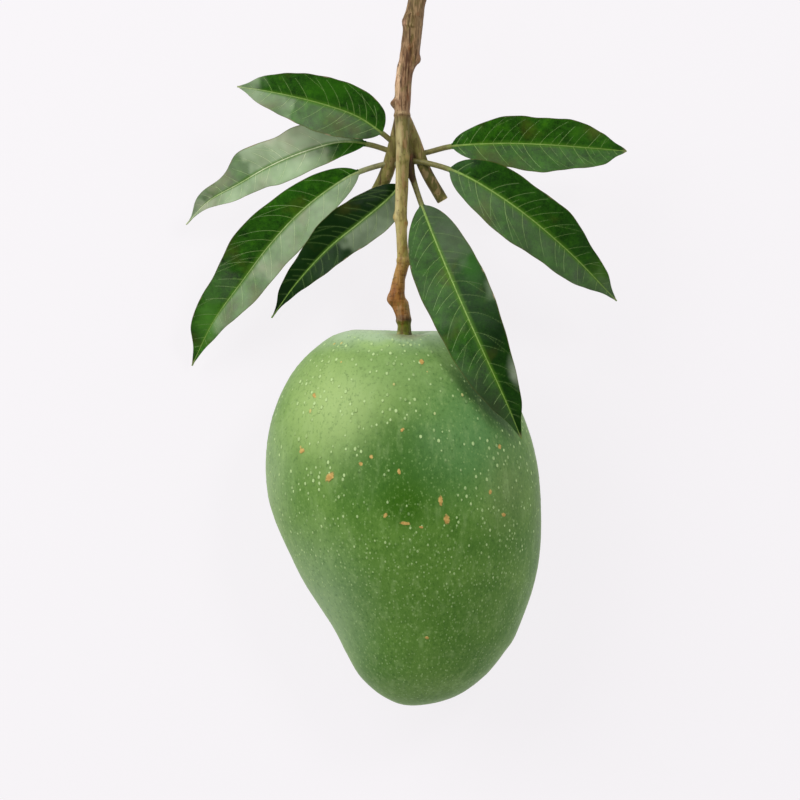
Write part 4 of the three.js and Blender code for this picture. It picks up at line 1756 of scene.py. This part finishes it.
        # The marks carry the painted sheen, and the darkening that is partly older leaf and partly
        # painted shade.
        for name, above, below in (
            ("across", column, column),
            ("vein", np.exp(-((distance / self.vein_glow) ** 2)), none),
            ("painted_sheen", self.painted_sheen_at(along, column, upper), none),
            ("dry", dry, dry),
            ("age", self.age_and_shade_at(column), none),
            ("under", none, none + 1),
        ):
            both = np.concatenate([above.reshape(flat), below.reshape(flat)[:, ::-1]], axis=1)
            mark(piece, name, np.concatenate([both.ravel(), [0.0, 0.0]]))
        return piece

    def age_and_shade_at(self, column: np.ndarray) -> np.ndarray:
        """How dark the blade is at each place, from its left half to its right half: partly older
        leaf, partly painted shade.
        """
        return self.age[0] + (self.age[1] - self.age[0]) * smoothstep(column, -0.15, 0.15)

    def dryness(self, along: np.ndarray, column: np.ndarray, places: np.ndarray) -> np.ndarray:
        """How withered the blade is at each place: at the tip, and here and there on the margin.

        Args:
            along: Shares of the blade's length.
            column: Shares of the reach, negative on the left half.
            places: Points on the blade, in millimetres.

        Returns:
            From 0 where it is green to 1.
        """
        tip = self.dry_tip * smoothstep(along, 0.955, 1.0)
        nicks = smoothstep(self.nicks.at(places), 0.3, 0.6)
        nicks *= smoothstep(np.abs(column), 0.93, 1.0)
        return np.clip(tip + self.nick_strength * nicks, 0.0, 1.0)

    def painted_sheen_at(self, along: np.ndarray, column: np.ndarray, places: np.ndarray) -> np.ndarray:
        """How strong the painted sheen is at each place, from 0 to 1.

        Args:
            along: Shares of the blade's length.
            column: Shares of the reach, negative on the left half.
            places: Points on the blade, in millimetres.

        Returns:
            From 0 where no sheen is painted to 1.
        """
        cloud = sum((lumps.at(places) for lumps in self.sheen_clouds), self.sheen_share)
        ragged = along + self.sheen_edge.at(places)
        ease = self.sheen_easing
        total = np.zeros(len(along))
        for painted_sheen in self.painted_sheens:
            within = smoothstep(painted_sheen.side.value * column, 0.0, 0.12)
            within *= smoothstep(ragged, painted_sheen.start - ease, painted_sheen.start + ease)
            within *= 1 - smoothstep(ragged, painted_sheen.end - ease, painted_sheen.end + ease)
            total = np.maximum(total, painted_sheen.strength * within)
        return np.clip(total * cloud, 0.0, 1.0)

    def rib_paths(self) -> bpy.types.Object:
        """Makes the lines that the ribs follow, with a radius and a rank at each point.

        Returns:
            An object of loose edges: the midrib with the petiole, and one chain for each side vein.
        """
        share = np.linspace(0.0, 1.0, self.rib_stations)
        along = np.clip((share - self.petiole) / (1 - self.petiole), 0.0, 1.0)
        centre, _ = self.path.by_length(share)
        _, _, up = self.frame_at(along)
        flare, fade = self.petiole_flare
        radius = self.rib_radius(along) * (1 + flare * np.exp(-((share / fade) ** 2)))
        show = self.rib_show - self.rib_sinking * along
        level = np.zeros(self.rib_stations)
        chains = [(
            centre + up * (self.upper_rise + show - radius)[:, None],
            radius,
            0.35 * smoothstep(share, self.petiole * 0.8, self.petiole * 1.25),
            sum(self.rib_sheen * self.painted_sheen_at(along, level + side.value * 0.3, centre)
                for side in Side),
            self.age_and_shade_at(level),
        )]
        for vein in self.veins:
            surface, up = self.surface(vein.along, vein.column)
            chains.append((
                surface - up * (self.vein_sinking * vein.radius)[:, None],
                vein.radius,
                np.linspace(0.72, 1.0, len(vein.radius)),
                self.painted_sheen_at(vein.along, vein.column, surface),
                self.age_and_shade_at(vein.column),
            ))
        ends = np.cumsum([len(chain[0]) for chain in chains]).tolist()
        edges = [(i, i + 1) for a, b in zip([0, *ends], ends) for i in range(a, b - 1)]
        places, radii, *marks = (np.concatenate(values) for values in zip(*chains))
        mesh = bpy.data.meshes.new(f"{self.name}_paths")
        mesh.from_pydata((places * MM).tolist(), edges, [])
        lines = mesh_object(mesh.name, mesh)
        for name, values in zip(("rank", "painted_sheen", "age", "radius"), (*marks, radii * MM)):
            mark(lines, name, values)
        return lines

    def build(self, blade_finish: bpy.types.Material, ribs: "RibNetwork") -> None:
        """Makes, dresses and settles the leaf.

        Args:
            blade_finish: The material of the blade.
            ribs: What turns lines into round ribs.
        """
        blade = self.blade()
        blade.data.materials.append(blade_finish)
        lines = self.rib_paths()
        veins = ribs.along(lines, f"{self.name}_ribs")
        bpy.data.objects.remove(lines)
        settle(blade, self.name)
        settle(veins)


class RibNetwork:
    """Turns lines with a radius at each point into round, closed ribs."""

    def __init__(self, finish: bpy.types.Material, sides: int = 8) -> None:
        """Builds the tree that all leaves share.

        Args:
            finish: The ribs' material.
            sides: How many sides a rib has.
        """
        self.values = {"Sides": sides, "Material": finish}
        self.tree = geometry_tree("ribs along lines", {"Sides": "Int", "Material": "Material"})
        add = partial(add_node, self.tree)
        given = add("NodeGroupInput").node.outputs
        circle = add("GeometryNodeCurvePrimitiveCircle", {
            "Resolution": given["Sides"], "Radius": 1.0})
        tubes = add("GeometryNodeCurveToMesh", {
            "Curve": add("GeometryNodeMeshToCurve", {"Mesh": given["Geometry"]}),
            "Profile Curve": circle,
            "Scale": add("GeometryNodeInputNamedAttribute", {"Name": "radius"}, data_type="FLOAT"),
            "Fill Caps": True,
        })
        smooth = add("GeometryNodeSetShadeSmooth", {"Geometry": tubes})
        real = add("GeometryNodeRealizeInstances", {"Geometry": smooth})
        dressed = add("GeometryNodeSetMaterial", {"Geometry": real, "Material": given["Material"]})
        add("NodeGroupOutput", {"Geometry": dressed})

    def along(self, lines: bpy.types.Object, name: str) -> bpy.types.Object:
        """Makes the ribs of one leaf along its lines."""
        return grow(lines, self.tree, self.values, name)


# Each leaf's painted sheens give where sheen is painted on its halves; its darkening is partly older
# leaf and partly painted shade.
LEAVES = (
    Leaf(
        "leaf_upper_left",
        ((-0.2, 122.4, 45), (-3.8, 123.6, 44.9), (-7.6, 126.4, 46.8), (-16.3, 132, 50.5),
         (-30, 136.6, 53.5), (-47.1, 140.6, 52), (-57.7, 142.6, 47.5)),
        petiole=0.15,
        left=BladeHalf(10.0, 0.6, 0.95),
        right=BladeHalf(10.4, 0.52, 0.9),
        fold=20,
        roll=(0, -8, -6),
        margin=Margin(0.7, 0.2, 1.6, 0.2),
        painted_sheens=table(PaintedSheen, (Side.LEFT, -0.2, 0.6, 0.18), (Side.LEFT, 0.6, 1.2, 0.48),
                    (Side.RIGHT, 0.82, 1.2, 0.42)),
        seed=4,
    ),
    Leaf(
        "leaf_middle_left",
        ((-0.3, 119, 44.4), (-4.4, 120.4, 44), (-12.2, 122.9, 43.6), (-21.8, 123.9, 42.4),
         (-34.1, 121, 39.5), (-46.7, 116.2, 34.5), (-58, 110.3, 28.5), (-69, 104.6, 21.5),
         (-77.4, 97, 12)),
        petiole=0.15,
        left=BladeHalf(8.0, 0.7, 1.35),
        right=BladeHalf(9.4, 0.8, 1.3),
        fold=16,
        roll=(0, 8, 14),
        margin=Margin(1.5, 0.8, 3.1, 0.55),
        painted_sheens=table(PaintedSheen, (Side.LEFT, 0.18, 1.2, 0.7), (Side.RIGHT, 0.04, 0.56, 1.0),
                    (Side.RIGHT, 0.5, 0.78, 0.4), (Side.RIGHT, 0.78, 1.2, 0.6)),
        seed=9,
    ),
    Leaf(
        "leaf_lower_left",
        ((-0.3, 116.2, 44.2), (-4.4, 116.6, 43.6), (-17, 113.1, 42.6), (-25.9, 108, 41.2),
         (-36.9, 99.4, 37.8), (-47.1, 88.8, 32.8), (-57.4, 75.8, 25.6), (-67.4, 62.7, 16.8),
         (-75.8, 47, 5.6)),
        petiole=0.14,
        left=BladeHalf(10.2, 0.62, 1.05),
        right=BladeHalf(11.4, 0.7, 0.9),
        fold=20,
        roll=(0, 4, 10),
        margin=Margin(1.1, 0.5, 2.6, 0.1),
        painted_sheens=table(PaintedSheen, (Side.LEFT, -0.2, 0.55, 0.6), (Side.LEFT, 0.5, 0.82, 0.4),
                    (Side.RIGHT, 0.58, 0.72, 0.08)),
        seed=2,
    ),
    Leaf(
        "leaf_centre_left",
        ((0.8, 113.2, 43.4), (-3.8, 106.4, 42.3), (-14.9, 96.5, 45), (-25.9, 87.4, 46.2),
         (-36.9, 75.8, 42.4), (-46.4, 63.4, 33.5)),
        petiole=0.07,
        left=BladeHalf(8.4, 0.5, 1.35),
        right=BladeHalf(8.6, 0.55, 1.1),
        fold=15,
        roll=(0, 4, 6),
        margin=Margin(0.9, 0.4, 2.1, 0.45),
        painted_sheens=table(PaintedSheen, (Side.LEFT, -0.2, 0.42, 0.35)),
        seed=6,
        age=(0.8, 0.85),
        dry_tip=0.2,
    ),
    Leaf(
        "leaf_centre_right",
        ((2, 113.4, 44.6), (2.9, 110.4, 45), (5.3, 103.1, 46.8), (9.6, 91.2, 53.5),
         (17.6, 71.3, 65), (25.5, 53, 71), (34.3, 33.9, 68.6), (39.6, 21.6, 61.5)),
        petiole=0.12,
        left=BladeHalf(11.6, 0.6, 0.9),
        right=BladeHalf(12.2, 0.6, 0.95),
        fold=12,
        roll=(0, 8, 12),
        margin=Margin(0.9, 0.3, 2.2, 0.7),
        painted_sheens=table(PaintedSheen, (Side.RIGHT, -0.2, 0.5, 0.08), (Side.LEFT, -0.2, 0.3, 0.12),
                    (Side.RIGHT, 0.62, 1.2, 0.06)),
        seed=5,
        age=(0.65, 0.32),
    ),
    Leaf(
        "leaf_lower_right",
        ((0.8, 117.2, 44.6), (4.6, 117, 46), (14.4, 114.3, 49.4), (23.2, 110.3, 51.4),
         (39.1, 99.9, 52.4), (56.6, 85.6, 46.5), (73.7, 69.3, 33)),
        petiole=0.17,
        left=BladeHalf(10.4, 0.52, 0.9),
        right=BladeHalf(11.2, 0.6, 0.98),
        fold=15,
        roll=(0, -4, 4),
        margin=Margin(1.0, 0.5, 2.7, 0.3),
        painted_sheens=table(PaintedSheen, (Side.RIGHT, -0.2, 1.2, 0.12), (Side.LEFT, 0.85, 1.2, 0.12)),
        seed=8,
        age=(0.45, 0.3),
    ),
    Leaf(
        "leaf_upper_right",
        ((0.8, 120.2, 44.2), (6.1, 120, 43.6), (15.6, 122.2, 44), (31.1, 123.2, 44.6),
         (47, 123, 43.4), (63, 122.1, 40), (77.1, 121.3, 34)),
        petiole=0.2,
        left=BladeHalf(10.0, 0.62, 0.75),
        right=BladeHalf(9.6, 0.66, 0.75),
        fold=16,
        roll=(0, 4, -4),
        margin=Margin(0.9, 0.45, 2.6, 0.0),
        painted_sheens=table(PaintedSheen, (Side.RIGHT, -0.2, 1.2, 0.08)),
        seed=3,
    ),
)


@dataclass(frozen=True)
class Softbox:
    """A square softbox that points at the part. Sizes in millimetres, power in watts."""

    name: str
    place: Point
    size: float
    power: float


@dataclass
class Studio:
    """Pale floor, soft light and the camera straight above."""

    floor_width: float = 6.0
    camera_middle: tuple[float, float] = (-1.733, 34.67)
    camera_plane: float = 39.6
    camera_distance: float = 1200.0
    view_width: float = 277.33
    sensor: float = 36.0
    softboxes: tuple[Softbox, ...] = table(
        Softbox,
        ("upper left", (-760, 640, 860), 980, 12.5),
        ("upper right", (420, 520, 1050), 260, 3.2),
    )
    sky: str = "f6f5f8"
    sky_low: float = 0.8
    sky_high: float = 0.12

    def build(self) -> None:
        """Lays the floor, hangs the lights and sets the camera."""
        scene = bpy.context.scene
        scene.view_settings.view_transform = "Standard"
        scene.view_settings.look = "None"
        self.lay_floor()
        self.set_sky(scene)
        self.hang_lights(scene)
        self.set_camera(scene)

    def lay_floor(self) -> None:
        """Makes the floor, a pale sheet under the fruit."""
        half = self.floor_width / 2
        mesh = bpy.data.meshes.new("floor")
        corners = [(-half, -half, 0), (half, -half, 0), (half, half, 0), (-half, half, 0)]
        mesh.from_pydata(corners, [], [(0, 1, 2, 3)])
        mesh.materials.append(StudioPaper().build())
        mesh_object("floor", mesh)

    def set_sky(self, scene: bpy.types.Scene) -> None:
        """Surrounds the scene with a room that is pale at eye level and dark overhead.

        Args:
            scene: The scene that gets the room.
        """
        world = bpy.data.worlds.new("pale studio")
        world.use_nodes = True
        world.node_tree.nodes.clear()
        add = partial(add_node, world.node_tree)
        direction = add("ShaderNodeTexCoord", out="Generated")
        strength = add("ShaderNodeMapRange", {
            "Value": add("ShaderNodeSeparateXYZ", {"Vector": direction}, "Z"),
            "From Min": 0.3,
            "From Max": 0.95,
            "To Min": self.sky_low,
            "To Max": self.sky_high,
        })
        room = add("ShaderNodeBackground", {"Color": linear_colour(self.sky), "Strength": strength})
        add("ShaderNodeOutputWorld", {"Surface": room})
        scene.world = world

    def hang_lights(self, scene: bpy.types.Scene) -> None:
        """Hangs the softboxes, each turned to the middle of the view.

        Args:
            scene: The scene that gets the lights.
        """
        for softbox in self.softboxes:
            light = bpy.data.lights.new(softbox.name, "AREA")
            light.shape = "SQUARE"
            light.size = softbox.size * MM
            light.energy = softbox.power
            lamp = bpy.data.objects.new(softbox.name, light)
            lamp.location = Vector(softbox.place) * MM
            aim = Vector((*self.camera_middle, self.camera_plane)) * MM - lamp.location
            lamp.rotation_euler = aim.to_track_quat("-Z", "Y").to_euler()
            scene.collection.objects.link(lamp)

    def set_camera(self, scene: bpy.types.Scene) -> None:
        """Sets the camera straight above, its top towards the twig.

        Args:
            scene: The scene that gets the camera.
        """
        lens = bpy.data.cameras.new("camera")
        lens.sensor_width = self.sensor
        lens.lens = self.sensor * self.camera_distance / self.view_width
        camera = bpy.data.objects.new("camera", lens)
        height = self.camera_plane + self.camera_distance
        camera.location = Vector((*self.camera_middle, height)) * MM
        scene.collection.objects.link(camera)
        scene.camera = camera


def write_sizes() -> None:
    """Brings the view layer up to date."""
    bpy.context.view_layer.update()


def main() -> None:
    """Builds the studio and every sub-assembly in order."""
    logging.basicConfig(level=logging.INFO, format="%(message)s")
    Studio().build()
    Fruit().build()
    Stalk().build()
    blade_finish = LeafBlade().build()
    ribs = RibNetwork(LeafRib().build())
    for leaf in LEAVES:
        leaf.build(blade_finish, ribs)
    write_sizes()


if __name__ == "__main__":
    main()
